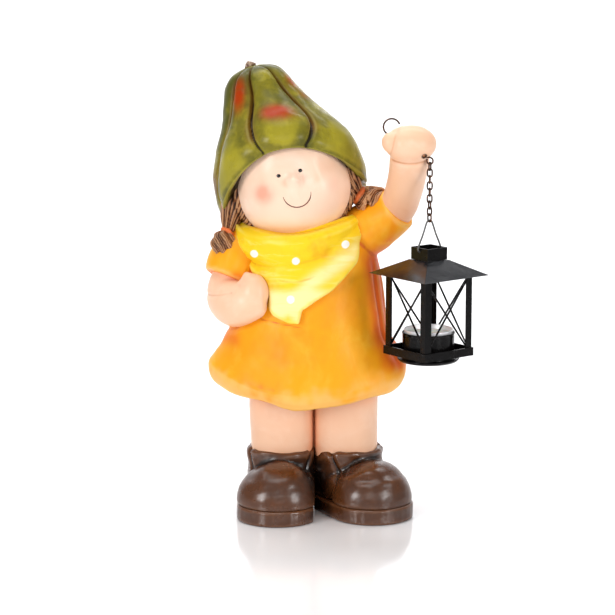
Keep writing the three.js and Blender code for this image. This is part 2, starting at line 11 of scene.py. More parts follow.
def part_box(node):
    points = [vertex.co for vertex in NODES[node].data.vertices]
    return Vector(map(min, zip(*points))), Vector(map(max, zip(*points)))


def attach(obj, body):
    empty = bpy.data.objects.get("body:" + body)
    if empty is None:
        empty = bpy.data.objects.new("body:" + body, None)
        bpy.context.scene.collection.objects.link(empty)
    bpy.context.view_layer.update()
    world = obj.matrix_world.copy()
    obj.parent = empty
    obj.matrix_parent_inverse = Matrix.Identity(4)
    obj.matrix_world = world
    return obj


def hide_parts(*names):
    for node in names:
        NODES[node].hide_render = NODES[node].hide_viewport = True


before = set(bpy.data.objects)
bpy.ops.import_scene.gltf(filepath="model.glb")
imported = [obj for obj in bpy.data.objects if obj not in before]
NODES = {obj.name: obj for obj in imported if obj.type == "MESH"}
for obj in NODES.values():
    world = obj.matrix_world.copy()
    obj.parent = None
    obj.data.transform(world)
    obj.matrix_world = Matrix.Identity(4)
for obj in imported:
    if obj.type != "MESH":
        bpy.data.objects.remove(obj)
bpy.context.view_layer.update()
MM = 0.001

# ---- places in the figure's own frame: millimetres, x = 0 between the legs, y = 0 at their centre --
LEG_LEFT_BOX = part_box("leg_left")
ORIGIN = Vector((
    (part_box("sole_left")[1].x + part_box("sole_right")[0].x) / 2,
    (LEG_LEFT_BOX[0].y + LEG_LEFT_BOX[1].y) / 2,
    0,
))
LEG_X = 25.2
LEFT_SPLAY = math.radians(-5)
RIGHT_SPLAY = math.radians(33)
TOE_REACH = 37
SOLE_TOP = 12.3
FIST_AT = np.array([72.5, -51.0, 295.0])
HOOK_HOLE_AT = np.array([83.0, -62.0, 286.5])
HEAD_AT = np.array([-15.0, -6.0, 256.0])
HEAD_LEAN = math.radians(-14)
HAT_AT = np.array([-16.0, 2.0, 250.0])
HAT_LEAN = math.radians(-13)
DRESS_X = -4
DRESS = [
    (-4, 1, 90, 72, 56), (-4, 1, 92.5, 76, 59.5), (-4, 1, 98, 77.8, 61.3), (-4, 0.5, 107, 77.5, 61),
    (-4.5, -1, 121, 71, 57), (-5, -1, 138, 64, 53.5), (-4.5, 0, 160, 60.5, 51), (-5, 1, 185, 57.5, 48),
    (-6, 1, 205, 53, 44), (-8, 0, 218, 44, 37), (-11, 0, 228, 30, 28), (-12, 0, 233, 16, 16),
]
LEFT_SLEEVE = [(-26, 0, 214, 15, 15), (-48, -4, 207, 22, 21), (-60, -9, 196, 23, 22),
               (-66, -13, 184, 21, 22)]
RIGHT_SLEEVE = [(16, 0, 212, 18, 18), (40, -3, 222, 21, 21), (55, -8, 232, 19, 19),
                (65.5, -13, 241, 17, 18)]
SIDE_LIFT = 14  # how much higher the hem is at the sides than in front
POCKET_ARM = [(-58, -9, 196, 13, 13), (-64, -12, 184, 16.5, 16.5), (-66.5, -18, 172, 17, 18),
              (-61, -32, 169, 16.5, 18), (-50, -43, 172, 14.5, 16), (-41, -48, 173, 10, 12),
              (-37, -49, 173.5, 6, 8)]
RAISED_ARM = [(56, -8, 229, 11, 11), (64, -13, 240, 14, 14), (69, -24, 256, 14.4, 14.6),
              (71.5, -36, 272, 14.6, 15), (72.5, -46, 286, 15, 15), (72.5, -51, 292, 13, 13)]
# The hat's outline: (height, radius) in its own frame, the brim first.
HAT_PROFILE = [(-4, 58.5), (10, 59.5), (28, 56.5), (45, 49), (62, 38), (80, 29), (92, 24), (100, 17),
               (104, 4)]
HAT_BRIM = -4
HAT_SWAY = 8
HAT_RISE_FRONT = 47
HAT_RISE_BACK = 20
# Each groove of the hat runs smoothly through a few (height up the hat, degrees from the front).
GROOVES = [
    [(0, -14), (45, -23), (80, -14), (100, -11)],
    [(0, 20), (50, 37), (100, 42)],
    [(0, 96), (100, 88)],
    [(0, 141), (100, 138)],
    [(0, 187), (100, 186)],
    [(0, 236), (100, 236)],
    [(0, 282), (50, 297), (100, 314)],
]
FACE_LEVEL = -14  # the hair cap ends at this depth of the head, in the head's own frame
# The swellings of the head, in its own frame: (middle, radius, height).
HEAD_SWELLS = [
    ((-25, -33, -6), 17, 1.8), ((26, -32, -2), 17, 2.0),      # cheeks
    ((2.5, -43, 10.5), 4.6, 5.2), ((2.5, -43, 11), 9, 0.9),   # nose
    ((-9, -42, 11), 6, -0.7), ((13, -41, 11), 6, -0.7),       # beside the nose
    ((-16, -38, 17), 11, 0.9), ((20, -37, 18), 12, 1.0),      # brows
    ((-24, -35, 11), 7, -0.9), ((28, -32, 13), 8, -0.9),      # under the brows
    ((0, -38, -20), 13, 0.8), ((0, -30, 36), 20, 9),          # chin and forehead
    ((-26, -22, 30), 15, 6), ((26, -22, 30), 15, 6),          # temples
]
EYES = {"eye_left": (-27, 270.4), "eye_right": (-10.6, 274.5)}
# The smile is an arc seen from the front: its middle (x, z), radius and ends in degrees from below.
SMILE_AT = (-13.2, 257)
SMILE_RADIUS = 10.7
SMILE_ENDS = (-75, 97)
LANTERN_TURN = math.radians(38.3)
TEALIGHT_Z = 137.9


# ---- numbers -----------------------------------------------------------------------------------
def smoothstep(low, high, value):
    t = np.clip((value - low) / (high - low), 0, 1)
    return t * t * (3 - 2 * t)


def bump(value, centre, width):
    return np.exp(-((value - centre) / width) ** 2)


def spot(co, centre, radius):
    """1 at a point and falling away over radius, in millimetres."""
    away = co - np.array(centre, float)
    return np.exp(-(away ** 2).sum(1) / radius ** 2)


def ripple(co, size, seed, count=9):
    """Smooth noise between about -1 and 1 whose waves are about size millimetres long."""
    random = np.random.RandomState(seed)
    total = np.zeros(len(co))
    for _ in range(count):
        direction = random.normal(size=3)
        direction /= np.linalg.norm(direction)
        length = size * random.uniform(0.7, 1.6)
        phase = random.uniform(0, 2 * math.pi)
        total += np.sin(co @ direction * 2 * math.pi / length + phase)
    return total / count ** 0.5 / 1.2


def turn_y(co, angle):
    """Turns points about the y axis; a negative angle leans what stands up towards -x."""
    c, s = math.cos(angle), math.sin(angle)
    x = co[:, 0] * c + co[:, 2] * s
    z = -co[:, 0] * s + co[:, 2] * c
    return np.stack([x, co[:, 1], z], 1)


def turn_z(co, angle):
    c, s = math.cos(angle), math.sin(angle)
    x = co[:, 0] * c - co[:, 1] * s
    y = co[:, 0] * s + co[:, 1] * c
    return np.stack([x, y, co[:, 2]], 1)


def through(points, count):
    """A Catmull-Rom curve through points, as count rows."""
    points = np.array(points, float)
    knots = np.vstack([2 * points[0] - points[1], points, 2 * points[-1] - points[-2]])
    at = np.linspace(0, len(points) - 1, count)
    low = np.minimum(at.astype(int), len(points) - 2)
    t = (at - low)[:, None]
    a, b, c, d = knots[low], knots[low + 1], knots[low + 2], knots[low + 3]
    return 0.5 * (2 * b + (c - a) * t + (2 * a - 5 * b + 4 * c - d) * t ** 2
                  + (3 * b - a - 3 * c + d) * t ** 3)


# ---- meshes ------------------------------------------------------------------------------------
def grid_faces(rows, columns, offset=0):
    """Faces between closed rings of points, ring after ring."""
    faces = []
    for row in range(rows - 1):
        for column in range(columns):
            following = (column + 1) % columns
            low = offset + row * columns
            faces.append((low + column, low + following, low + columns + following,
                          low + columns + column))
    return faces


def capped(rings):
    """A closed body from a stack of rings of points, with a middle point at each end."""
    rows, columns = rings.shape[:2]
    co = rings.reshape(-1, 3)
    ends = np.array([rings[0].mean(0), rings[-1].mean(0)])
    faces = grid_faces(rows, columns)
    first, last = rows * columns, rows * columns + 1
    top = (rows - 1) * columns
    for column in range(columns):
        following = (column + 1) % columns
        faces.append((first, following, column))
        faces.append((last, top + column, top + following))
    return np.vstack([co, ends]), faces


def tube(stations, sides=64, steps=60, square=2.0):
    """A body through oval stations (x, y, z, half width, half depth)."""
    path = through(stations, steps)
    along = np.gradient(path[:, :3], axis=0)
    along /= np.linalg.norm(along, axis=1)[:, None]
    deep = np.cross(np.array([1.0, 0, 0]), along)
    deep /= np.linalg.norm(deep, axis=1)[:, None]
    wide = np.cross(along, deep)
    angle = np.linspace(0, 2 * math.pi, sides, endpoint=False)
    c, s = np.cos(angle), np.sin(angle)
    across = np.sign(c) * np.abs(c) ** (2 / square)
    back = np.sign(s) * np.abs(s) ** (2 / square)
    rings = (path[:, None, :3]
             + wide[:, None] * (across[None, :, None] * path[:, 3][:, None, None])
             + deep[:, None] * (back[None, :, None] * path[:, 4][:, None, None]))
    return capped(rings)


def ball(centre, radii, lean=0.0, sides=56, rows=32):
    """An ellipsoid; lean turns it about the y axis."""
    polar = np.linspace(0.04, math.pi - 0.04, rows)
    around = np.linspace(0, 2 * math.pi, sides, endpoint=False)
    unit = np.stack([
        np.sin(polar)[:, None] * np.cos(around)[None],
        np.sin(polar)[:, None] * np.sin(around)[None],
        -np.cos(polar)[:, None] * np.ones(sides)[None],
    ], 2)
    co, faces = capped(unit)
    return turn_y(co * np.array(radii, float), lean) + np.array(centre, float), faces


def wire(path, radius, sides=12, closed=False):
    """A round wire along points; radius is one number or one per point."""
    path = np.array(path, float)
    count = len(path)
    if closed:
        along = np.roll(path, -1, 0) - np.roll(path, 1, 0)
    else:
        along = np.gradient(path, axis=0)
    along /= np.linalg.norm(along, axis=1)[:, None]
    side = np.cross(along[0], [0.31, 0.52, 0.79])
    frames = []
    for direction in along:
        side = side - direction * side.dot(direction)
        side /= np.linalg.norm(side)
        frames.append(side)
    frames = np.array(frames)
    other = np.cross(along, frames)
    angle = np.linspace(0, 2 * math.pi, sides, endpoint=False)
    thick = np.broadcast_to(np.array(radius, float), (count,))[:, None, None]
    rings = path[:, None] + thick * (frames[:, None] * np.cos(angle)[None, :, None]
                                     + other[:, None] * np.sin(angle)[None, :, None])
    if not closed:
        return capped(rings)
    looped = np.vstack([rings, rings[:1]])
    faces = [tuple(i % (count * sides) for i in face) for face in grid_faces(count + 1, sides)]
    return looped[:-1].reshape(-1, 3), faces


def turned(profile, sides=96):
    """A turned body about the z axis from a (radius, height) outline that starts and ends at 0."""
    outline = np.array(profile, float)
    angle = np.linspace(0, 2 * math.pi, sides, endpoint=False)
    rings = np.stack([
        outline[:, 0][:, None] * np.cos(angle)[None],
        outline[:, 0][:, None] * np.sin(angle)[None],
        outline[:, 1][:, None] * np.ones(sides)[None],
    ], 2)
    return capped(rings[1:-1])


def joined(parts):
    """Several bodies as one list of points and faces."""
    points, faces, offset = [], [], 0
    for co, some in parts:
        points.append(co)
        faces += [tuple(i + offset for i in face) for face in some]
        offset += len(co)
    return np.vstack(points), faces


def new_object(name, co, faces):
    """An object from millimetre points in the figure's frame."""
    mesh = bpy.data.meshes.new(name)
    metres = np.asarray(co, float) * MM + np.array(ORIGIN)
    mesh.from_pydata(metres.tolist(), [], faces)
    obj = bpy.data.objects.new(name, mesh)
    bpy.context.scene.collection.objects.link(obj)
    tidy_normals(obj)
    return obj


def tidy_normals(obj):
    """Faces outward, shaded smooth."""
    work = bmesh.new()
    work.from_mesh(obj.data)
    bmesh.ops.recalc_face_normals(work, faces=work.faces)
    work.to_mesh(obj.data)
    work.free()
    obj.data.polygons.foreach_set("use_smooth", [True] * len(obj.data.polygons))
    obj.data.update()


def applied(obj):
    """Makes the object's modifiers real."""
    bpy.context.view_layer.update()
    graph = bpy.context.evaluated_depsgraph_get()
    mesh = bpy.data.meshes.new_from_object(obj.evaluated_get(graph))
    obj.modifiers.clear()
    obj.data = mesh
    mesh.polygons.foreach_set("use_smooth", [True] * len(mesh.polygons))
    return obj


def sculpted(name, parts, voxel=1.2, smooth=8, source=None):
    """One skin over several overlapping bodies, or over a copy of a CAD node, as soft clay."""
    if source:
        obj = bpy.data.objects.new(name, NODES[source].data.copy())
        bpy.context.scene.collection.objects.link(obj)
        weld = obj.modifiers.new("weld", "WELD")
        weld.merge_threshold = 0.00001
    else:
        obj = new_object(name, *joined(parts))
    remesh = obj.modifiers.new("clay", "REMESH")
    remesh.mode = "VOXEL"
    remesh.voxel_size = voxel * MM
    if smooth:
        soften = obj.modifiers.new("soften", "SMOOTH")
        soften.factor = 0.5
        soften.iterations = smooth
    applied(obj)
    obj.data.materials.clear()
    return obj


def read(obj):
    """Points in millimetres in the figure's frame, and normals."""
    count = len(obj.data.vertices)
    co = np.zeros(count * 3)
    obj.data.vertices.foreach_get("co", co)
    normal = np.zeros(count * 3)
    obj.data.vertices.foreach_get("normal", normal)
    return (co.reshape(-1, 3) - np.array(ORIGIN)) / MM, normal.reshape(-1, 3)


def write(obj, co):
    metres = (co * MM + np.array(ORIGIN)).astype(np.float32)
    obj.data.vertices.foreach_set("co", metres.ravel())
    obj.data.update()


def push(obj, amount):
    """Moves each point along its normal by amount(points, normals), in millimetres."""
    co, normal = read(obj)
    write(obj, co + normal * amount(co, normal)[:, None])


def tell(obj, name, values):
    """Stores a number per point, for the material to read."""
    layer = obj.data.attributes.new(name, "FLOAT", "POINT")
    layer.data.foreach_set("value", np.asarray(values, np.float32))


def tell_cavity(obj, passes=10, depth=0.35):
    """Stores how hollow (1) or raised (-1) the surface is at each point."""
    co, normal = read(obj)
    edges = np.zeros(len(obj.data.edges) * 2, np.int32)
    obj.data.edges.foreach_get("vertices", edges)
    edges = edges.reshape(-1, 2)
    one, two = edges[:, 0], edges[:, 1]
    count = len(co)
    degree = np.bincount(one, minlength=count) + np.bincount(two, minlength=count)
    soft = co.copy()
    for _ in range(passes):
        total = np.zeros_like(soft)
        for axis in range(3):
            total[:, axis] = (np.bincount(one, soft[two, axis], count)
                              + np.bincount(two, soft[one, axis], count))
        soft = 0.5 * soft + 0.5 * total / np.maximum(degree, 1)[:, None]
    hollow = ((soft - co) * normal).sum(1) / depth
    tell(obj, "cavity", np.clip(hollow, -1, 1))


def surface_of(obj):
    """For finding points on an object's surface."""
    bpy.context.view_layer.update()
    return BVHTree.FromObject(obj, bpy.context.evaluated_depsgraph_get())


def front_point(tree, x, z, lift=0.0):
    """The point of a surface in front of figure place (x, z), lifted by some millimetres."""
    start = Vector((x, -200, z)) * MM + ORIGIN
    spot_at, normal, _, _ = tree.ray_cast(start, Vector((0, 1, 0)))
    placed = (spot_at - ORIGIN) / MM + normal * lift
    return np.array(placed), np.array(normal)


def finished(obj, material, body, slot, *replaced):
    """Paints a piece, fixes it to its body and hides the CAD nodes that it stands for."""
    if not obj.data.attributes.get("cavity"):
        tell_cavity(obj)
    obj.data.materials.clear()
    obj.data.materials.append(material)
    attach(obj, body)
    if replaced:
        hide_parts(*replaced)
    return obj


# ---- materials ---------------------------------------------------------------------------------
def linear(colour):
    """A display colour, 0 to 255, as the linear colour that shaders take."""
    values = []
    for part in colour:
        part = part / 255
        values.append(part / 12.92 if part <= 0.04045 else ((part + 0.055) / 1.055) ** 2.4)
    return (*values, 1.0)


class Look:
    """A material in the making: a Principled shader and the nodes that feed it."""

    def __init__(self, name):
        self.material = bpy.data.materials.new(name)
        self.material.use_nodes = True
        self.tree = self.material.node_tree
        self.shader = self.tree.nodes["Principled BSDF"]
        self.place = self.tree.nodes.new("ShaderNodeTexCoord").outputs["Object"]

    def node(self, kind, **settings):
        node = self.tree.nodes.new(kind)
        for key, value in settings.items():
            setattr(node, key, value)
        return node

    def join(self, source, target):
        self.tree.links.new(source, target)

    def stretched(self, scale, turn=(0, 0, 0)):
        mapping = self.node("ShaderNodeMapping")
        mapping.inputs["Scale"].default_value = scale
        mapping.inputs["Rotation"].default_value = turn
        self.join(self.place, mapping.inputs["Vector"])
        return mapping.outputs["Vector"]

    def noise(self, scale, detail=4.0, rough=0.55, vector=None, distortion=0.0):
        node = self.node("ShaderNodeTexNoise")
        node.inputs["Scale"].default_value = scale
        node.inputs["Detail"].default_value = detail
        node.inputs["Roughness"].default_value = rough
        node.inputs["Distortion"].default_value = distortion
        self.join(vector or self.place, node.inputs["Vector"])
        return node.outputs["Fac"]

    def ramp(self, value, low, high, start=0.0, end=1.0):
        """Value from low to high becomes start to end."""
        node = self.node("ShaderNodeMapRange", interpolation_type="SMOOTHSTEP")
        node.inputs["From Min"].default_value = low
        node.inputs["From Max"].default_value = high
        node.inputs["To Min"].default_value = start
        node.inputs["To Max"].default_value = end
        self.join(value, node.inputs["Value"])
        return node.outputs["Result"]

    def blend(self, amount, one, two, mode="MIX"):
        """One colour with another over it by amount; each is a colour or a socket."""
        node = self.node("ShaderNodeMix", data_type="RGBA", blend_type=mode)
        self.join(amount, node.inputs["Factor"])
        for colour, name in ((one, "A"), (two, "B")):
            sockets = [s for s in node.inputs if s.name == name and s.type == "RGBA"]
            if isinstance(colour, tuple):
                sockets[0].default_value = linear(colour)
            else:
                self.join(colour, sockets[0])
        return [s for s in node.outputs if s.type == "RGBA"][0]

    def point_value(self, name):
        node = self.node("ShaderNodeAttribute", attribute_name=name)
        return node.outputs["Fac"]

    def times(self, one, two):
        node = self.node("ShaderNodeMath", operation="MULTIPLY")
        self.join(one, node.inputs[0])
        if isinstance(two, float):
            node.inputs[1].default_value = two
        else:
            self.join(two, node.inputs[1])
        return node.outputs[0]

    def relief(self, layers):
        """Stacks bumps, each a (height, strength, distance) row."""
        normal = None
        for height, strength, distance in layers:
            node = self.node("ShaderNodeBump")
            node.inputs["Strength"].default_value = strength
            node.inputs["Distance"].default_value = distance
            self.join(height, node.inputs["Height"])
            if normal:
                self.join(normal, node.inputs["Normal"])
            normal = node.outputs["Normal"]
        self.join(normal, self.shader.inputs["Normal"])

    def finish(self, colour, roughness, **fixed):
        self.join(colour, self.shader.inputs["Base Color"])
        self.join(roughness, self.shader.inputs["Roughness"])
        for name, value in fixed.items():
            socket = name.replace("_", " ").title().replace("Ior", "IOR")
            self.shader.inputs[socket].default_value = value
        return self.material


def painted(name, base, light, dark, groove, streak=(1, 1, 1), size=1.0, cover=(0.5, 0.75),
            shade=(0.5, 0.8), gloss=(0.34, 0.5), extra=(), grain=0.25, edge=None, shine=0.2):
    """Hand-painted fired clay: a base coat with lighter and darker brushwork, colour settled in
    the hollows, and a satin varnish. extra is rows of (point value name, colour, strength)."""
    look = Look(name)
    strokes = look.noise(70 * size, 5.0, 0.6, look.stretched(streak), 0.6)
    clouds = look.noise(28 * size, 4.0, 0.6)
    fine = look.noise(420 * size, 3.0, 0.6)
    colour = look.blend(look.ramp(strokes, cover[0], cover[1]), base, light)
    colour = look.blend(look.ramp(clouds, shade[0], shade[1]), colour, dark)
    colour = look.blend(look.ramp(fine, 0.55, 0.8, 0.0, grain), colour, dark)
    for value, tint, strength in extra:
        ragged = look.times(look.point_value(value), look.ramp(strokes, 0.25, 0.6, 0.75, 1.15))
        colour = look.blend(look.ramp(ragged, 0.0, 1.0, 0.0, strength), colour, tint)
    cavity = look.point_value("cavity")
    colour = look.blend(look.ramp(cavity, 0.08, 0.9, 0.0, 0.9), colour, groove)
    if edge:
        colour = look.blend(look.ramp(cavity, -0.15, -0.9, 0.0, 0.6), colour, edge)
    rough = look.ramp(clouds, 0.3, 0.7, gloss[0], gloss[1])
    look.relief([(clouds, 0.25, 0.0012), (strokes, 0.22, 0.0006), (fine, 0.12, 0.0002)])
    return look.finish(colour, rough, specular_ior_level=shine, coat_weight=0.03, coat_roughness=0.2)


def skin_look():
    return painted("skin_paint", (245, 198, 164), (250, 210, 182), (240, 186, 150), (206, 140, 98),
                   size=0.5, cover=(0.45, 0.8), shade=(0.5, 0.95), gloss=(0.3, 0.4), grain=0.08,
                   # the first extra is painted shade in creases and under the sleeves and hem; the
                   # second is painted shade inside the hook's hole
                   shine=0.3, extra=(("painted_shade", (226, 156, 112), 0.7), ("hole", (44, 24, 16), 1.0)))


def face_look():
    return painted("face_paint", (251, 214, 188), (253, 224, 202), (247, 204, 174), (214, 150, 110),
                   size=0.5, cover=(0.45, 0.8), shade=(0.5, 0.95), gloss=(0.28, 0.38), grain=0.06,
                   # blush is the cheeks' own paint; the second extra is painted shade under the brows
                   # and beside the nose; glow is painted light thrown up from the neckerchief
                   shine=0.3, extra=(("blush", (242, 150, 122), 0.72), ("painted_shade", (242, 186, 148), 0.6),
                                     ("glow", (250, 186, 118), 0.6)))


def hat_look():
    return painted("hat_green", (120, 112, 34), (148, 138, 40), (82, 82, 30), (30, 18, 10),
                   size=1.0, cover=(0.42, 0.66), shade=(0.42, 0.66), gloss=(0.24, 0.36),
                   extra=(("mottle", (172, 160, 46), 0.65), ("patch", (168, 46, 0), 0.92),
                          ("rust", (112, 58, 26), 0.8)),
                   grain=0.4, edge=(160, 150, 66), shine=0.14)


def scarf_look():
    return painted("scarf_yellow", (250, 210, 30), (251, 222, 96), (240, 176, 28), (232, 160, 28),
                   streak=(0.3, 1, 2.6), size=0.8, cover=(0.52, 0.68), shade=(0.56, 0.74),
                   gloss=(0.36, 0.5), grain=0.25, edge=(252, 226, 96),
                   # pale is painted highlight along the folds of the bib; dots are the scarf's own
                   # white spots
                   extra=(("pale", (253, 240, 176), 0.85), ("dots", (254, 252, 244), 1.0)))


def dress_look():
    return painted("dress_orange", (251, 168, 22), (252, 184, 50), (244, 148, 24), (214, 96, 24),
                   streak=(1.4, 1.4, 0.7), size=0.5, cover=(0.46, 0.74), shade=(0.46, 0.74),
                   gloss=(0.36, 0.5), grain=0.14, edge=(252, 194, 104),
                   # hem is the dress's pale painted hem; the second extra is painted reddish shade on
                   # the far side, in creases and under the sleeve ends
                   extra=(("hem", (248, 188, 104), 0.8), ("painted_red_shade", (238, 98, 24), 0.95)))


def boot_look(name, base):
    return painted(name, base, (98, 56, 28), (64, 34, 16), (22, 12, 8), size=1.0,
                   cover=(0.5, 0.85), shade=(0.45, 0.75), gloss=(0.24, 0.34), grain=0.4,
                   # deep is painted shade in the hollow between the boots
                   edge=(112, 70, 42), shine=0.65, extra=(("deep", (16, 10, 8), 0.95),))


def hair_look():
    return painted("hair_brown", (128, 78, 46), (176, 118, 76), (82, 50, 32), (34, 18, 12),
                   streak=(2, 2, 0.5), size=1.4, cover=(0.45, 0.7), shade=(0.5, 0.75),
                   gloss=(0.32, 0.46), grain=0.4, edge=(214, 166, 122))


def tie_look():
    return painted("tie_orange", (214, 84, 34), (236, 120, 52), (160, 56, 28), (110, 40, 24),
                   size=2, gloss=(0.34, 0.46), edge=(244, 140, 80))


def stem_look():
    return painted("stem_brown", (134, 106, 90), (176, 150, 120), (92, 66, 60), (58, 42, 38),
                   streak=(2, 2, 0.4), size=2, edge=(196, 176, 150))


def ink_look(name, colour, glossy):
    """A drawn line or dot of varnished paint."""
    look = Look(name)
    fine = look.noise(900, 3.0)
    darker = tuple(int(part * 0.6) for part in colour)
    mixed = look.blend(look.ramp(fine, 0.45, 0.7), colour, darker)
    look.relief([(fine, 0.1, 0.0002)])
    return look.finish(mixed, look.ramp(fine, 0.3, 0.7, glossy, glossy + 0.12),
                       specular_ior_level=0.6)


def enamel_look(name, base, worn, rust, metal, gloss, wear=0.75, shine=0.5):
    """Painted or bare metal sheet: uneven enamel, rubbed high spots and small rust specks."""
    look = Look(name)
    clouds = look.noise(60, 5.0, 0.65)
    fine = look.noise(900, 4.0, 0.7)
    rubbed = look.noise(240, 6.0, 0.75, None, 0.8)
    colour = look.blend(look.ramp(clouds, 0.4, 0.7), base, worn)
    colour = look.blend(look.ramp(rubbed, wear - 0.12, wear), colour, rust)
    rough = look.ramp(clouds, 0.3, 0.7, gloss, gloss + 0.16)
    look.relief([(clouds, 0.2, 0.0004), (fine, 0.18, 0.0001), (rubbed, 0.25, 0.0001)])
    return look.finish(colour, rough, metallic=metal, specular_ior_level=shine)


def wax_look():
    look = Look("wax_white")
    clouds = look.noise(120, 4.0)
    fine = look.noise(800, 3.0)
    colour = look.blend(look.ramp(clouds, 0.35, 0.7), (252, 250, 244), (238, 234, 224))
    look.relief([(clouds, 0.3, 0.0005), (fine, 0.15, 0.0001)])
    return look.finish(colour, look.ramp(clouds, 0.3, 0.7, 0.34, 0.5), subsurface_weight=0.3,
                       subsurface_scale=0.006)


def wick_look():
    look = Look("wick_cotton")
    braid = look.node("ShaderNodeTexWave", bands_direction="DIAGONAL")
    braid.inputs["Scale"].default_value = 900
    braid.inputs["Distortion"].default_value = 1.5
    look.join(look.place, braid.inputs["Vector"])
    colour = look.blend(braid.outputs["Fac"], (236, 228, 206), (176, 160, 130))
    look.relief([(braid.outputs["Fac"], 0.6, 0.0002)])
    return look.finish(colour, look.ramp(braid.outputs["Fac"], 0, 1, 0.75, 0.95))


LOOKS = {
    "skin": skin_look(), "face": face_look(), "hat": hat_look(), "scarf": scarf_look(),
    "dress": dress_look(), "boot": boot_look("boot_brown", (84, 46, 20)),
    "sole": boot_look("sole_brown", (82, 46, 23)), "hair": hair_look(), "tie": tie_look(),
    "stem": stem_look(), "eye": ink_look("eye_black", (20, 12, 8), 0.14),
    "mouth": ink_look("mouth_brown", (112, 46, 26), 0.34),
    "sheet": enamel_look("black_sheet", (8, 7, 7), (13, 11, 11), (34, 22, 18), 0.0, 0.16, 0.8, 0.14),
    "roof": enamel_look("black_roof", (12, 14, 20), (16, 18, 24), (40, 26, 20), 0.0, 0.1, 0.82, 0.7),
    "rust": enamel_look("rusty_wire", (60, 40, 30), (84, 58, 42), (122, 80, 52), 0.55, 0.38, 0.62),
    "bail": enamel_look("bail_wire", (96, 96, 96), (120, 118, 114), (84, 66, 54), 0.7, 0.34, 0.74),
    "tealight": enamel_look("tealight_aluminium", (238, 238, 240), (224, 224, 226),
                            (204, 204, 206), 0.35, 0.26, 0.8),
    "wax": wax_look(), "wick": wick_look(),
}


# ---- legs and boots ----------------------------------------------------------------------------
def make_leg(side, name):
    x = side * LEG_X
    obj = sculpted(name + "_painted", [tube([
        (x - 1.6 * side, 0, 30, 23.6, 23), (x - 0.4 * side, 0, 46, 24.9, 25.4),
        (x, 0, 62, 25.3, 27), (x, 0, 90, 25.3, 28), (x, 0, 116, 24.8, 27),
    ], square=2.7)], voxel=1.3, smooth=5)
    push(obj, lambda co, normal: 0.3 * ripple(co, 45, 3))
    co, _ = read(obj)
    # The two legs stay on their own sides of the line between them.
    co[:, 0] = side * np.maximum(side * co[:, 0], -0.15)
    write(obj, co)
    # Painted shade in the groove between the legs, just above the boots and under the hem.
    between = 0.75 * bump(co[:, 0], 0, 4.5) * smoothstep(0, -10, co[:, 1])
    tell(obj, "painted_shade", np.clip(between + 0.35 * smoothstep(58, 50, co[:, 2])
                              + 0.5 * smoothstep(80, 92, co[:, 2]), 0, 1))
    finished(obj, LOOKS["skin"], "figure", "skin_paint", name)


def make_boot(side, splay, name):
    toe = ball((0, -TOE_REACH, 14), (32, 30, 30))
    instep = ball((0, -14, 18), (28, 30, 27))
    shaft = tube([(0, 2, 4, 27.5, 27), (0, 1, 25, 27.5, 27.5), (0, 0, 43, 27.2, 28.6),
                  (0, 0, 47, 27, 28.6), (0, 0, 49.5, 25.8, 27.6)], square=2.5)
    obj = sculpted(name + "_painted", [toe, instep, shaft], voxel=1.1, smooth=6)
    co, normal = read(obj)
    x, y, z = co.T
    cuff = smoothstep(27, 36, z) * smoothstep(49, 45, z)
    wrinkle = ripple(co * [0.5, 0.5, 1.3], 13, 31 + side)
    crease = bump(y - 0.42 * z + 0.004 * x ** 2, -33.5, 1.9) * smoothstep(15, 28, z)
    rag = ripple(co, 9, 33) * smoothstep(45, 49, z)
    amount = 0.85 * cuff * wrinkle - 1.5 * crease + 0.5 * rag
    amount += 0.3 * ripple(co, 26, 17) + 0.06 * ripple(co, 6, 19)
    co = co + normal * amount[:, None]
    co[:, 2] = np.maximum(co[:, 2], SOLE_TOP)
    seam = bump(co[:, 2], SOLE_TOP, 1.2)
    co[:, 0] *= 1 - 0.03 * seam
    co = turn_z(co, splay)
    co[:, 0] += side * LEG_X
    co[:, 0] = side * np.maximum(side * co[:, 0], -0.2)
    write(obj, co)
    x, y, z = co.T
    # Painted shade in the hollow between the boots, low at the front.
    tell(obj, "deep", bump(x, 0, 11) * smoothstep(-62, -42, y) * smoothstep(48, 36, z))
    finished(obj, LOOKS["boot"], "figure", "boot_brown", name)


def make_sole(name):
    obj = sculpted(name + "_painted", [], voxel=1.0, smooth=5, source=name)

    def worn(co, normal):
        outward = 1 - np.abs(normal[:, 2])
        return outward * (0.3 * ripple(co, 24, 41) + 0.15 * ripple(co, 9, 43) - 0.3)

    push(obj, worn)
    co, _ = read(obj)
    co[:, 2] = np.clip(co[:, 2], 0.02, SOLE_TOP - 0.1)
    # Painted shade in the hollow between the soles at the front.
    tell(obj, "deep", bump(co[:, 0], 0, 11) * smoothstep(-66, -46, co[:, 1]))
    write(obj, co)
    finished(obj, LOOKS["sole"], "figure", "sole_brown", name)


# ---- dress, arms and scarf ---------------------------------------------------------------------
def dress_relief(co, normal):
    """Folds of the skirt, creases at the waist and the edge of the pocket."""
    x, y, z = co.T
    angle = np.arctan2(x - DRESS_X, -y)
    low = smoothstep(160, 100, z)
    waves = 1.3 * low * np.cos(5 * angle + 0.6) + 0.6 * low * np.cos(9 * angle + 2)
    side_folds = -2.0 * (bump(angle, 1.22, 0.06) + bump(angle, 1.5, 0.06)) * smoothstep(104, 135, z)
    side_folds *= smoothstep(212, 180, z)
    creases = -1.6 * bump(z - 0.5 * (x + 72), 143, 3.2) * smoothstep(-52, -62, x)
    pocket = -0.45 * bump(z + 0.16 * (x + 40), 158.5, 1.3) * smoothstep(-64, -58, x)
    pocket *= smoothstep(-4, -14, x) * smoothstep(-20, -30, y)
    uneven = 0.45 * ripple(co, 42, 5) + 0.08 * ripple(co, 9, 7)
    return waves + side_folds + creases + pocket + uneven


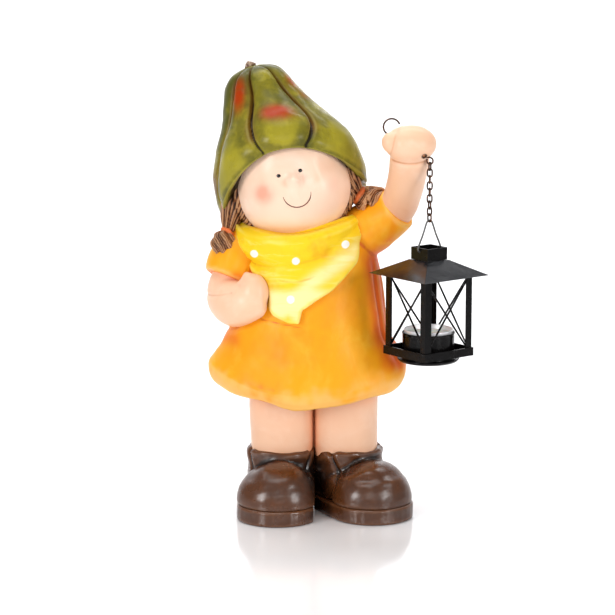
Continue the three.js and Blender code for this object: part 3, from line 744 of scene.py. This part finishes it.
def make_dress():
    obj = sculpted("dress_painted", [
        tube(DRESS, 128, 120), tube(LEFT_SLEEVE, 64, 40), tube(RIGHT_SLEEVE, 64, 40),
    ], voxel=1.3, smooth=10)
    co, _ = read(obj)
    # The underside is hollowed, then the hem is lifted towards the sides.
    share = np.hypot((co[:, 0] - DRESS_X) / 77, co[:, 1] / 61)
    co[:, 2] += 12 * smoothstep(0.93, 0.8, share) * (co[:, 2] < 95)
    flat = co[:, 2].copy()
    aside = np.minimum(1, np.abs(co[:, 0] - DRESS_X) / 78)
    co[:, 2] += SIDE_LIFT * smoothstep(160, 95, flat) * aside ** 2
    write(obj, co)
    push(obj, dress_relief)
    paint_dress(obj, flat)
    finished(obj, LOOKS["dress"], "figure", "dress_orange", "dress")


def paint_dress(obj, flat):
    """A pale hem, and painted reddish shade on the far side, in the creases and at the sleeve ends;
    flat is each point's unlifted height.
    """
    co, _ = read(obj)
    x, y, z = co.T
    angle = np.arctan2(x - DRESS_X, -y)
    hem_line = 98 + 5 * ripple(co, 40, 11) + 3.5 * ripple(co, 12, 12)
    tell(obj, "hem", np.clip(smoothstep(hem_line + 10, hem_line - 9, flat), 0, 1))
    # Painted reddish shade on the side turned away, in the creases and under the sleeve ends.
    painted_red_shade = smoothstep(0.8, 1.2, angle) * smoothstep(106, 125, z) * smoothstep(2.4, 2.0, angle)
    painted_red_shade *= smoothstep(222, 196, z)
    painted_red_shade += 0.5 * bump(z, 140, 7) * smoothstep(-52, -62, x)
    cuffs = bump(z, 187, 7) * smoothstep(-50, -58, x)
    cuffs += 0.5 * bump(x - 0.3 * z, 65 - 0.3 * 240, 5) * (z > 215)
    tell(obj, "painted_red_shade", np.clip(painted_red_shade + 0.7 * cuffs, 0, 1))


def make_pocket_arm():
    hand = ball((-46, -44, 179.5), (11.5, 12, 15))
    thumb = tube([(-57, -40, 180, 5.5, 5.5), (-52.5, -43, 188, 4.6, 4.6), (-50, -42, 195, 3.4, 3.4)],
                 32, 24)
    arm = tube(POCKET_ARM, 64, 80)
    obj = sculpted("pocket_arm_painted", [arm, hand, thumb], voxel=0.9, smooth=26)

    def shape(co, normal):
        x, y, z = co.T
        fold = bump(z - 0.32 * (x + 66), 179.5, 1.8)
        fold *= smoothstep(-60, -64, x) * smoothstep(-10, -20, y)
        return -0.9 * fold + 0.25 * ripple(co, 24, 23)

    push(obj, shape)
    x, _, z = read(obj)[0].T
    # Painted shade where the fingers meet the pocket, under the sleeve and on the arm's underside.
    painted_shade = 0.6 * smoothstep(-39, -35, x) * smoothstep(172, 166, z)
    painted_shade += smoothstep(190, 196, z) * smoothstep(-55, -60, x) + 0.35 * smoothstep(162, 154, z)
    tell(obj, "painted_shade", np.clip(painted_shade, 0, 1))
    finished(obj, LOOKS["skin"], "figure", "skin_paint", "pocket_arm")


def wrist_line(co, width):
    """1 along the crease under the raised fist."""
    x, y, z = co.T
    return bump(z - 0.012 * (x - 72) ** 2, 280.5, width) * smoothstep(-44, -54, y)


def hook_hole(co):
    """1 at the mouth of the hole that the lantern's hook comes out of."""
    long = [1, 0.3, 1]
    return spot(co * long, HOOK_HOLE_AT * long, 2.6)


def make_raised_arm():
    fist = ball(FIST_AT, (20, 16, 14.5))
    thumb = ball(FIST_AT + (-15, -5, 1.5), (7, 7, 8))
    arm = tube(RAISED_ARM, 64, 60)
    obj = sculpted("raised_arm_painted", [arm, fist, thumb], voxel=0.9, smooth=10)

    def shape(co, normal):
        x, y, z = co.T
        thumb_fold = bump(x - 0.25 * (z - 296), 59.5, 1.8) * smoothstep(-48, -56, y)
        return (0.25 * ripple(co, 22, 29) - 0.9 * wrist_line(co, 1.5) - 0.5 * thumb_fold
                - 1.8 * hook_hole(co))

    push(obj, shape)
    co, _ = read(obj)
    # Painted shade under the sleeve and in the wrist crease; the hole value is painted shade inside
    # the hook's hole.
    painted_shade = 0.6 * smoothstep(262, 238, co[:, 2]) + 0.4 * wrist_line(co, 1.6)
    tell(obj, "painted_shade", np.clip(painted_shade, 0, 1))
    tell(obj, "hole", smoothstep(0.35, 0.6, hook_hole(co)))
    finished(obj, LOOKS["skin"], "figure", "skin_paint", "raised_arm")


# Each dot's place: x, z and whether it is on the front (-1) or at the back (1).
SCARF_DOTS = [(-46, 209, -1), (-14, 205, -1), (24, 216, -1), (-18, 176, -1),
              (-38, 214, 1), (0, 218, 1), (28, 214, 1)]


def make_scarf():
    obj = sculpted("neckerchief_painted", [], voxel=0.8, smooth=22, source="neckerchief")

    def folds(co, normal):
        x, y, z = co.T
        front = smoothstep(-8, -20, y)
        fall = z - 0.006 * (x + 14) ** 2
        rolls = 0.7 * np.sin(fall * 0.36 + 0.05 * x)
        rolls *= smoothstep(188, 200, z) * smoothstep(226, 216, z)
        pleat = -0.7 * bump(z - 0.012 * (x + 18) ** 2, 189, 1.8) * smoothstep(20, 8, np.abs(x + 15))
        return front * (rolls + pleat) + 0.25 * ripple(co, 18, 37) + 0.9

    push(obj, folds)
    co, _ = read(obj)
    co[:, 0] += 5 * smoothstep(214, 238, co[:, 2]) * smoothstep(8, 26, co[:, 0]) * (co[:, 1] < 0)
    write(obj, co)
    x, y, z = co.T
    dots = sum(spot(co * [1, 0, 1], (across, 0, up), 3.1) * (np.sign(y) == near)
               for across, up, near in SCARF_DOTS)
    tell(obj, "dots", smoothstep(0.3, 0.5, dots))
    # Painted highlights along the folds: a diagonal band across the bib and the lower part of it.
    band = bump((z - 193) - 0.62 * (x - 4), 0, 8) * smoothstep(-24, 0, x) * smoothstep(40, 30, x)
    low = smoothstep(187, 178, z) * smoothstep(158, 168, z + 0.6 * np.abs(x + 20))
    tell(obj, "pale", np.clip(0.75 * band + 0.8 * low, 0, 1) * smoothstep(-5, -15, y))
    finished(obj, LOOKS["scarf"], "figure", "scarf_yellow", "neckerchief")


# ---- head --------------------------------------------------------------------------------------
def egg(wide, deep, up, down, sides, rows):
    """An egg at the origin: half width, half depth, and half heights above and below."""
    co, faces = ball((0, 0, 0), (1, 1, 1), sides=sides, rows=rows)
    tall = np.where(co[:, 2] > 0, up, down)
    return co * np.stack([np.full(len(co), wide), np.full(len(co), deep), tall], 1), faces


def make_head():
    co, faces = egg(45.5, 43.0, 48, 42, 256, 200)
    out = co / np.linalg.norm(co, axis=1)[:, None]
    swell = np.zeros(len(co))
    for centre, radius, height in HEAD_SWELLS:
        swell += height * spot(co, centre, radius)
    co = turn_y(co + out * swell[:, None], HEAD_LEAN) + HEAD_AT
    obj = new_object("head_painted", co, faces)
    blush = spot(co, (-37.5, -42.7, 256), 8.5) + 0.3 * spot(co, (14, -40, 263.5), 8)
    tell(obj, "blush", np.clip(blush, 0, 1))
    # Painted shade under the brows and beside the nose.
    brow = 0.5 * spot(co, (3, -42, 276), 7) + 0.5 * spot(co, (14, -37, 276.5), 7)
    brow += 0.5 * spot(co, (-37, -42, 268), 6) + 0.4 * spot(co, (-46, -36, 266), 6)
    brow += 0.4 * spot(co, (-20, -49, 264), 3.5) + 0.5 * spot(co, (3, -46, 268), 4)
    tell(obj, "painted_shade", np.clip(brow, 0, 1))
    # Light thrown up by the neckerchief, on the front of the chin.
    local = turn_y(co - HEAD_AT, -HEAD_LEAN)
    glow = smoothstep(226, 219, co[:, 2] - 0.14 * (co[:, 0] + 15))
    tell(obj, "glow", glow * (local[:, 1] < -5))
    finished(obj, LOOKS["face"], "figure", "skin_paint", "head")
    return obj


def make_eye(tree, name, x, z):
    place, normal = front_point(tree, x, z, 0.1)
    co, faces = ball((0, 0, 0), (1.65, 0.55, 1.4), HEAD_LEAN * 0.6, 32, 20)
    toward = Vector((0, -1, 0)).rotation_difference(Vector(normal)).to_matrix()
    obj = new_object(name, co @ np.array(toward).T + place, faces)
    finished(obj, LOOKS["eye"], "figure", "skin_paint")


def make_smile(tree):
    steps = 60
    turn = np.radians(np.linspace(*SMILE_ENDS, steps))
    x = SMILE_AT[0] + SMILE_RADIUS * np.sin(turn)
    z = SMILE_AT[1] - SMILE_RADIUS * np.cos(turn)
    points = np.array([front_point(tree, *place, 0.02)[0] for place in zip(x, z)])
    taper = 0.42 * np.minimum(1, 0.35 + np.sin(np.linspace(0, math.pi, steps)) * 1.2)
    obj = new_object("smile", *wire(points, taper, 10))
    finished(obj, LOOKS["mouth"], "figure", "skin_paint")


def make_face_marks(head):
    tree = surface_of(head)
    for name, (x, z) in EYES.items():
        make_eye(tree, name, x, z)
    make_smile(tree)


# ---- hair --------------------------------------------------------------------------------------
def hair_strands(co, seed):
    """Strands that run back from the brow on the cap and down along each lock in front."""
    x, y, z = co.T
    local = turn_y(co - HEAD_AT, -HEAD_LEAN)
    on_cap = np.arctan2(local[:, 0], -local[:, 1]) * 46
    left = (x - np.interp(z, (222, 262), (-66, -56))) / np.interp(z, (222, 262), (3.2, 9)) * 5.4
    right = (x - np.interp(z, (251, 274), (34, 22))) / np.interp(z, (251, 274), (3.2, 7)) * 5.4
    across = np.where(y > 0, on_cap, np.where(x < -15, left, right))
    bend = 0.8 * ripple(co * [1, 1, 0.4], 16, seed)
    fine = np.sin((across + bend) * 2 * math.pi / 2.3)
    locks = np.sin((across + bend * 1.5) * 2 * math.pi / 5.6)
    return 0.34 * fine + 0.5 * locks


def make_hair():
    co, faces = egg(50.0, 46.0, 50, 42, 160, 120)
    co[:, 1] = np.maximum(co[:, 1] + 3, FACE_LEVEL)
    cap = (turn_y(co, HEAD_LEAN) + HEAD_AT, faces)
    left = tube([(-56, -4, 262, 12, 11), (-60.5, -6, 248, 11, 10), (-64, -9, 236, 8.6, 8),
                 (-65.6, -10.6, 227.5, 6.2, 6), (-66, -11.4, 222, 4, 4)], 40, 40)
    right = tube([(22, -6, 274, 10, 9), (26, -7, 267, 9.5, 9), (29.5, -7.5, 259, 8, 8),
                  (32.4, -8, 253.6, 6, 6), (34, -8.2, 250.8, 4, 4)], 40, 40)
    obj = sculpted("hair_painted", [cap, left, right], voxel=0.7, smooth=4)
    push(obj, lambda co, normal: hair_strands(co, 51))
    tell_cavity(obj, 8, 0.16)
    finished(obj, LOOKS["hair"], "figure", "hair_brown", "hair")


def make_pigtail(name, axis, turns):
    """A short plaited bunch: an oval with strands that wind round its axis."""
    low, high = [np.array(corner - ORIGIN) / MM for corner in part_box(name)]
    middle, half = (low + high) / 2, (high - low) / 2
    obj = sculpted(name + "_painted", [], voxel=0.55, smooth=6, source=name)
    axis = np.array(axis, float) / np.linalg.norm(axis)
    side = np.cross(axis, [0, 1, 0])
    side /= np.linalg.norm(side)
    other = np.cross(axis, side)
    reach = half.max()

    def plait(co, normal):
        away = co - middle
        along = away @ axis / reach
        around = np.arctan2(away @ other, away @ side)
        strands = np.sin(6 * around + turns * along * math.pi)
        hairs = np.sin(26 * around + turns * 4.2 * along * math.pi + 1.5 * ripple(co, 7, 61))
        return 0.8 * strands + 0.3 * hairs + 0.8

    push(obj, plait)
    tell_cavity(obj, 8, 0.25)
    finished(obj, LOOKS["hair"], "figure", "hair_brown", name)


def make_tie(name, at, axis, radius, thick):
    """A gathered elastic band round the foot of a pigtail."""
    axis = Vector(axis).normalized()
    angle = np.linspace(0, 2 * math.pi, 96, endpoint=False)
    ring = np.stack([radius * np.cos(angle), radius * np.sin(angle), 0.25 * np.sin(5 * angle)], 1)
    turn = np.array(Vector((0, 0, 1)).rotation_difference(axis).to_matrix())
    rings = thick * (0.92 + 0.14 * np.abs(np.sin(7 * angle)))
    obj = new_object(name + "_painted", *wire(ring @ turn.T + np.array(at, float), rings, 20, True))
    tell_cavity(obj, 6, 0.12)
    finished(obj, LOOKS["tie"], "figure", "tie_orange", name)


# ---- hat ---------------------------------------------------------------------------------------
def between_grooves(angle, height):
    """How far the nearest groove is and how wide the lobe is, both in degrees."""
    degrees = np.degrees(angle) % 360
    lines = [through(row, 60).T for row in GROOVES]
    edges = np.sort(np.array([np.interp(height, *line) for line in lines]) % 360, 0)
    nearest = np.full(degrees.shape, 360.0)
    width = np.full(degrees.shape, 50.0)
    for index in range(len(GROOVES)):
        low = edges[index]
        high = edges[(index + 1) % len(GROOVES)]
        span = (high - low) % 360
        into = (degrees - low) % 360
        inside = into < span
        nearest = np.where(inside, np.minimum(into, span - into), nearest)
        width = np.where(inside, span, width)
    return nearest, width


def hat_surface(angle, height):
    """The hat's skin at an angle from the front and a height, in the hat's own frame."""
    curve = through(HAT_PROFILE, 200)
    radius = np.interp(height, curve[:, 0], curve[:, 1])
    nearest, width = between_grooves(angle, height)
    share = np.clip((height - HAT_BRIM) / 108, 0, 1)
    lobe = np.sqrt(np.clip(1 - (1 - nearest / width * 2) ** 2.2, 0, 1))
    bulge = 0.05 + 0.06 * bump(share, 0.45, 0.2) + 0.12 * smoothstep(0.4, 0.95, share)
    depth = 1.0 + 2.4 * smoothstep(0.05, 0.4, share)
    groove = depth * np.exp(-(nearest * np.pi / 180 * np.maximum(radius, 6) / 1.4) ** 2)
    radius = radius * (1 - bulge + bulge * 1.3 * lobe) - groove * smoothstep(3, 14, radius)
    radius = np.maximum(radius, 0.5)
    x = radius * np.sin(angle) - HAT_SWAY * smoothstep(30, 100, height)
    y = -radius * 0.95 * np.cos(angle)
    front = np.cos(angle)
    rise = np.where(front > 0, HAT_RISE_FRONT * np.abs(front) ** 1.5, HAT_RISE_BACK * front)
    z = height + rise * np.maximum(0, 1 - (height - HAT_BRIM) / 104) ** 1.3
    return np.stack([x, y, z], -1), nearest, share


def hat_rings():
    """Rings of the hat from inside the brim to the top, with groove distance and height share."""
    columns = 420
    angle = np.linspace(0, 2 * math.pi, columns, endpoint=False)
    # The brim turns in: each ring's scale and how far it lies above the brim's edge.
    inner = [(0.80, 3.0), (0.86, -1.0), (0.905, -3.2), (0.945, -4.6), (0.975, -5.0), (0.992, -4.8)]
    heights = np.concatenate([np.linspace(HAT_BRIM, 94, 190), np.linspace(94.5, 103.6, 24)])
    rows = []
    for scale, drop in inner:
        ring, nearest, share = hat_surface(angle, np.full(columns, float(HAT_BRIM)))
        ring = ring * np.array([scale, scale, 1])
        ring[:, 2] += drop - HAT_BRIM
        rows.append((ring, nearest, share))
    for height in heights:
        rows.append(hat_surface(angle, np.full(columns, height)))
    return [np.array(part) for part in zip(*rows)]


def paint_hat(obj, near, share):
    """Orange patches, rust at one side and in the grooves, and light mottling on the lobes."""
    co, _ = read(obj)
    patch = np.zeros(len(co))
    for strength, place, squash, radius in (
        (1.1, (-28.5, -41, 318), (0.7, 1, 1.3), 9), (1.0, (-57.5, -20, 328), (1.5, 0.8, 0.6), 8.5),
        (0.75, (-19, -7, 336), (1, 1, 0.8), 7), (0.5, (-9, -12, 326), (1, 1, 1), 6),
        (0.6, (20, 30, 300), (1, 1, 1), 10), (0.8, (-30, 45, 310), (1, 1, 1), 11),
    ):
        patch += strength * spot(co * squash, np.multiply(place, squash), radius)
    tell(obj, "patch", np.clip(patch, 0, 1))
    rust = 0.8 * spot(co, (-77, 0, 258), 14) + 0.5 * spot(co, (-74, 8, 285), 12)
    rust += 0.7 * bump(near, 0, 5) * smoothstep(0.1, 0.35, share)
    tell(obj, "rust", np.clip(rust, 0, 1))
    mottle = smoothstep(7, 18, near) * smoothstep(0.55, 0.25, share) * smoothstep(0, 0.08, share)
    tell(obj, "mottle", mottle)


def make_hat():
    rings, near, share = hat_rings()
    co, faces = capped(rings)
    # The two middle points that close the skin lie away from the grooves.
    near = np.append(near.ravel(), [90, 90])
    share = np.append(share.ravel(), [0, 1])
    co = turn_y(co, HAT_LEAN) + HAT_AT
    obj = new_object("hat_painted", co, faces)
    soften = obj.modifiers.new("soften", "SMOOTH")
    soften.factor = 0.5
    soften.iterations = 2
    applied(obj)
    push(obj, lambda co, normal: 0.55 * ripple(co, 38, 71) + 0.16 * ripple(co, 12, 73))
    paint_hat(obj, near, share)
    tell_cavity(obj, 9, 0.5)
    finished(obj, LOOKS["hat"], "figure", "hat_green", "hat")


def make_stem():
    obj = sculpted("hat_stem_painted", [], voxel=0.5, smooth=4, source="hat_stem")

    def bark(co, normal):
        low = np.array([-50.3, 2.4, 344.0])
        around = np.arctan2(co[:, 1] - low[1], co[:, 0] - low[0] + 0.3 * (co[:, 2] - low[2]))
        return 0.35 * np.sin(6 * around) + 0.25 * ripple(co, 4, 81)

    push(obj, bark)
    co, _ = read(obj)
    top = (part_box("hat_stem")[1].z - ORIGIN.z) / MM
    co[:, 2] = np.minimum(co[:, 2], top)
    write(obj, co)
    tell_cavity(obj, 5, 0.2)
    finished(obj, LOOKS["stem"], "figure", "stem_brown", "hat_stem")


# ---- lantern -----------------------------------------------------------------------------------
def keep(name, look, bevel=0.0, rounded=0, thicker=0.0):
    """A CAD node that stays, with its edges eased and its own finish."""
    obj = NODES[name]
    weld = obj.modifiers.new("weld", "WELD")
    weld.merge_threshold = 0.00001
    if bevel:
        ease = obj.modifiers.new("ease", "BEVEL")
        ease.width = bevel * MM
        ease.segments = 2
        ease.limit_method = "ANGLE"
        ease.angle_limit = math.radians(35)
    if rounded:
        soft = obj.modifiers.new("soft", "SUBSURF")
        soft.levels = rounded
        soft.render_levels = rounded
        obj.data.polygons.foreach_set("use_smooth", [True] * len(obj.data.polygons))
        swell = obj.modifiers.new("swell", "DISPLACE")
        swell.strength = thicker * MM
        swell.mid_level = 0
    obj.data.materials.clear()
    obj.data.materials.append(LOOKS[look])


def lantern_axis():
    low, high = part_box("candle_holder")
    return np.array(((low + high) / 2 - ORIGIN) / MM)[:2]


def at_axis(part):
    co, faces = part
    x, y = lantern_axis()
    return co + np.array([x, y, 0]), faces


def rounded_box_ring(x, z, half_width, half_height, steps=16):
    """Points round a section across x, nearly square with soft corners."""
    ring = []
    for phase in np.arange(steps) * 2 * math.pi / steps:
        c, s = math.cos(phase), math.sin(phase)
        y = half_width * np.sign(c) * abs(c) ** 0.5
        up = half_height * np.sign(s) * abs(s) ** 0.5
        ring.append([x, y, z + up])
    return ring


def make_holder_ear(name, angle):
    """A small tongue bent out from the rim of the holder."""
    reach = [20.0, 20.6, 21.4, 22.0]
    height = [150.2, 150.6, 150.8, 150.6]
    half_width = [2.3, 2.3, 2.2, 1.9]
    stations = through(np.c_[reach, height, half_width], 14)
    rings = [rounded_box_ring(*station, 0.35) for station in stations]
    co, faces = capped(np.array(rings))
    ear = new_object(name, *at_axis((turn_z(co, angle), faces)))
    finished(ear, LOOKS["sheet"], "candle_holder", "black_sheet")


def make_candle_holder():
    outline = [
        (0, 136.8), (0.5, 136.8), (18.6, 136.8), (19.1, 136.2),                 # under the floor
        (19.2, 130.2), (19.6, 129.4), (20.6, 129.1), (22.6, 129.9),             # skirt and flange
        (23.7, 131.4), (23.75, 131.9), (23.3, 132.1), (22.4, 131.5),            # the flange's lip
        (20.6, 131.3), (20.0, 132.2), (19.9, 134), (19.9, 149.8),               # outside of the wall
        (20.05, 150.9), (20.35, 151.5), (20.2, 151.9), (19.7, 152),             # rolled rim
        (19.35, 151.5), (19.2, 150.4), (19.2, 138.4), (18.7, 137.7),            # inside of the wall
        (0.5, 137.6), (0, 137.6),                                               # the floor
    ]
    obj = new_object("candle_holder_painted", *at_axis(turned(outline)))
    finished(obj, LOOKS["sheet"], "candle_holder", "black_sheet", "candle_holder")
    make_holder_ear("holder_ear_1", LANTERN_TURN)
    make_holder_ear("holder_ear_2", LANTERN_TURN + math.pi)


def above_tealight_foot(outline):
    return [(radius, height + TEALIGHT_Z) for radius, height in outline]


def make_tealight_cup():
    outline = above_tealight_foot([
        (0, 0), (0.5, 0), (17.6, 0), (18.4, 0.25), (18.75, 1.1), (18.8, 15.6), (18.95, 16.15),
        (18.75, 16.45), (18.45, 16.35), (18.35, 15.9), (18.3, 1.2), (17.8, 0.65), (0.5, 0.55),
        (0, 0.55),
    ])
    co, faces = turned(outline, 192)
    around = np.arctan2(co[:, 1], co[:, 0])
    radius = np.hypot(co[:, 0], co[:, 1])
    on_wall = (radius > 18.5) * (co[:, 2] < TEALIGHT_Z + 15.4)
    ribs = 1 - 0.006 * (np.sin(48 * around) > 0.3) * on_wall
    co[:, :2] *= ribs[:, None]
    obj = new_object("tealight_cup_painted", *at_axis((co, faces)))
    finished(obj, LOOKS["tealight"], "tealight", "tealight_aluminium", "tealight_cup")


def make_tealight_wax():
    outline = above_tealight_foot([
        (0, 1.2), (0.5, 1.2), (17.9, 1.2), (18.05, 1.6), (18.05, 13), (17.7, 12.95), (16.6, 12.4),
        (13, 12.15), (6, 12.0), (2.2, 12.2), (1.2, 12.75), (0.75, 12.3), (0.7, 9), (0, 9),
    ])
    obj = new_object("tealight_wax_painted", *at_axis(turned(outline)))
    finished(obj, LOOKS["wax"], "tealight", "wax_white", "tealight_wax")


def make_tealight_wick():
    x, y = lantern_axis()
    rise = np.array([9.5, 12.4, 14, 15.2]) + TEALIGHT_Z
    path = through(np.c_[[x, x, x + 0.15, x + 0.6], [y, y, y, y - 0.2], rise], 24)
    obj = new_object("tealight_wick_painted", *wire(path, np.linspace(0.55, 0.5, 24), 12))
    finished(obj, LOOKS["wick"], "tealight", "wick_cotton", "tealight_wick")


def make_lantern():
    keep("lantern_roof", "roof", bevel=0.22)
    for name in ("lantern_collar", "base_tray"):
        keep(name, "sheet", bevel=0.22)
    for corner in "abcd":
        keep("corner_post_" + corner, "sheet", bevel=0.2)
    for side in range(1, 5):
        for layer in ("outer", "inner"):
            keep(f"cross_wire_{side}_{layer}", "sheet", rounded=1, thicker=0.36)
    keep("lantern_bail", "bail", rounded=2, thicker=0.14)
    keep("lantern_hook", "rust", rounded=2, thicker=0.14)
    for link in range(1, 10):
        keep(f"chain_link_{link}", "rust", rounded=2, thicker=0.22)
    make_candle_holder()
    make_tealight_cup()
    make_tealight_wax()
    make_tealight_wick()


# ---- studio ------------------------------------------------------------------------------------
def stage_look():
    look = Look("paper_sweep")
    grain = look.noise(30, 3.0)
    colour = look.blend(grain, (250, 250, 252), (246, 246, 248))
    return look.finish(colour, look.ramp(grain, 0.3, 0.7, 0.1, 0.14), specular_ior_level=0.5)


def make_sweep():
    """A pale floor that curves up into the backdrop, in metres."""
    side_view = [(-3.0, 0), (-1.5, 0), (0.2, 0), (0.9, 0), (1.5, 0.05), (2.0, 0.25), (2.3, 0.7),
                 (2.4, 1.4), (2.4, 3.0)]
    rows = through(side_view, 80)
    across = (-4.0, -1.3, 1.3, 4.0)
    co = []
    for y, z in rows:
        for x in across:
            co.append((x, y, max(z, 0.0) - 0.0002))
    faces = []
    for row in range(len(rows) - 1):
        for column in range(len(across) - 1):
            low = row * len(across) + column
            faces.append((low, low + 1, low + 5, low + 4))
    mesh = bpy.data.meshes.new("sweep")
    mesh.from_pydata(co, [], faces)
    mesh.polygons.foreach_set("use_smooth", [True] * len(mesh.polygons))
    sweep = bpy.data.objects.new("sweep", mesh)
    bpy.context.scene.collection.objects.link(sweep)
    sweep.data.materials.append(stage_look())


def area_light(name, place, aim, size, power):
    data = bpy.data.lights.new(name, "AREA")
    data.shape = "RECTANGLE"
    data.size, data.size_y = size
    data.energy = power
    light = bpy.data.objects.new(name, data)
    light.location = place
    light.rotation_euler = (Vector(aim) - Vector(place)).to_track_quat("-Z", "Y").to_euler()
    bpy.context.scene.collection.objects.link(light)


def make_studio():
    make_sweep()
    middle = (0, 0, 0.17)
    area_light("left_softbox", (-1.25, -1.25, 0.6), middle, (0.42, 0.55), 12.5)
    area_light("right_softbox", (1.3, -1.2, 0.6), middle, (0.42, 0.55), 10.5)
    area_light("front_softbox", (0.1, -2.3, 1.0), middle, (1.2, 0.8), 6)
    area_light("top_softbox", (-0.3, -0.3, 1.9), middle, (1.4, 1.0), 12)
    area_light("backdrop_light", (0.0, 0.9, 2.2), (0.0, 2.3, 0.2), (3.0, 0.8), 60)
    world = bpy.data.worlds.new("studio")
    bpy.context.scene.world = world
    world.use_nodes = True
    background = world.node_tree.nodes["Background"]
    background.inputs["Color"].default_value = (1, 1, 1, 1)
    background.inputs["Strength"].default_value = 0.27
    bpy.context.scene.view_settings.view_transform = "Standard"


def make_camera():
    """Slightly above the figure, from far enough away for a flat perspective."""
    distance = 2.0
    elevation = math.radians(10.5)
    data = bpy.data.cameras.new("camera")
    data.lens = 149.2
    data.sensor_width = 36
    camera = bpy.data.objects.new("camera", data)
    target = ORIGIN + Vector((-5.1, 0, 159.9)) * MM
    toward_camera = Vector((0, -math.cos(elevation), math.sin(elevation)))
    camera.location = target + toward_camera * distance
    camera.rotation_euler = (target - camera.location).to_track_quat("-Z", "Y").to_euler()
    bpy.context.scene.collection.objects.link(camera)
    bpy.context.scene.camera = camera


# ---- assembly ----------------------------------------------------------------------------------
make_camera()
make_studio()
make_leg(-1, "leg_left")
make_leg(1, "leg_right")
make_boot(-1, LEFT_SPLAY, "boot_left")
make_boot(1, RIGHT_SPLAY, "boot_right")
make_sole("sole_left")
make_sole("sole_right")
make_dress()
make_pocket_arm()
make_raised_arm()
make_scarf()
make_face_marks(make_head())
make_hair()
make_pigtail("pigtail_left", (-0.25, -0.3, -1), 2.2)
make_pigtail("pigtail_right", (0.9, 0, 0.3), 2.2)
make_tie("hair_tie_left", (-66.4, -12, 220.6), (-0.6, -0.35, -0.72), 5.2, 1.9)
make_tie("hair_tie_right", (34.8, -8.2, 250), (0.82, 0, -0.57), 5.6, 2.3)
make_hat()
make_stem()
make_lantern()
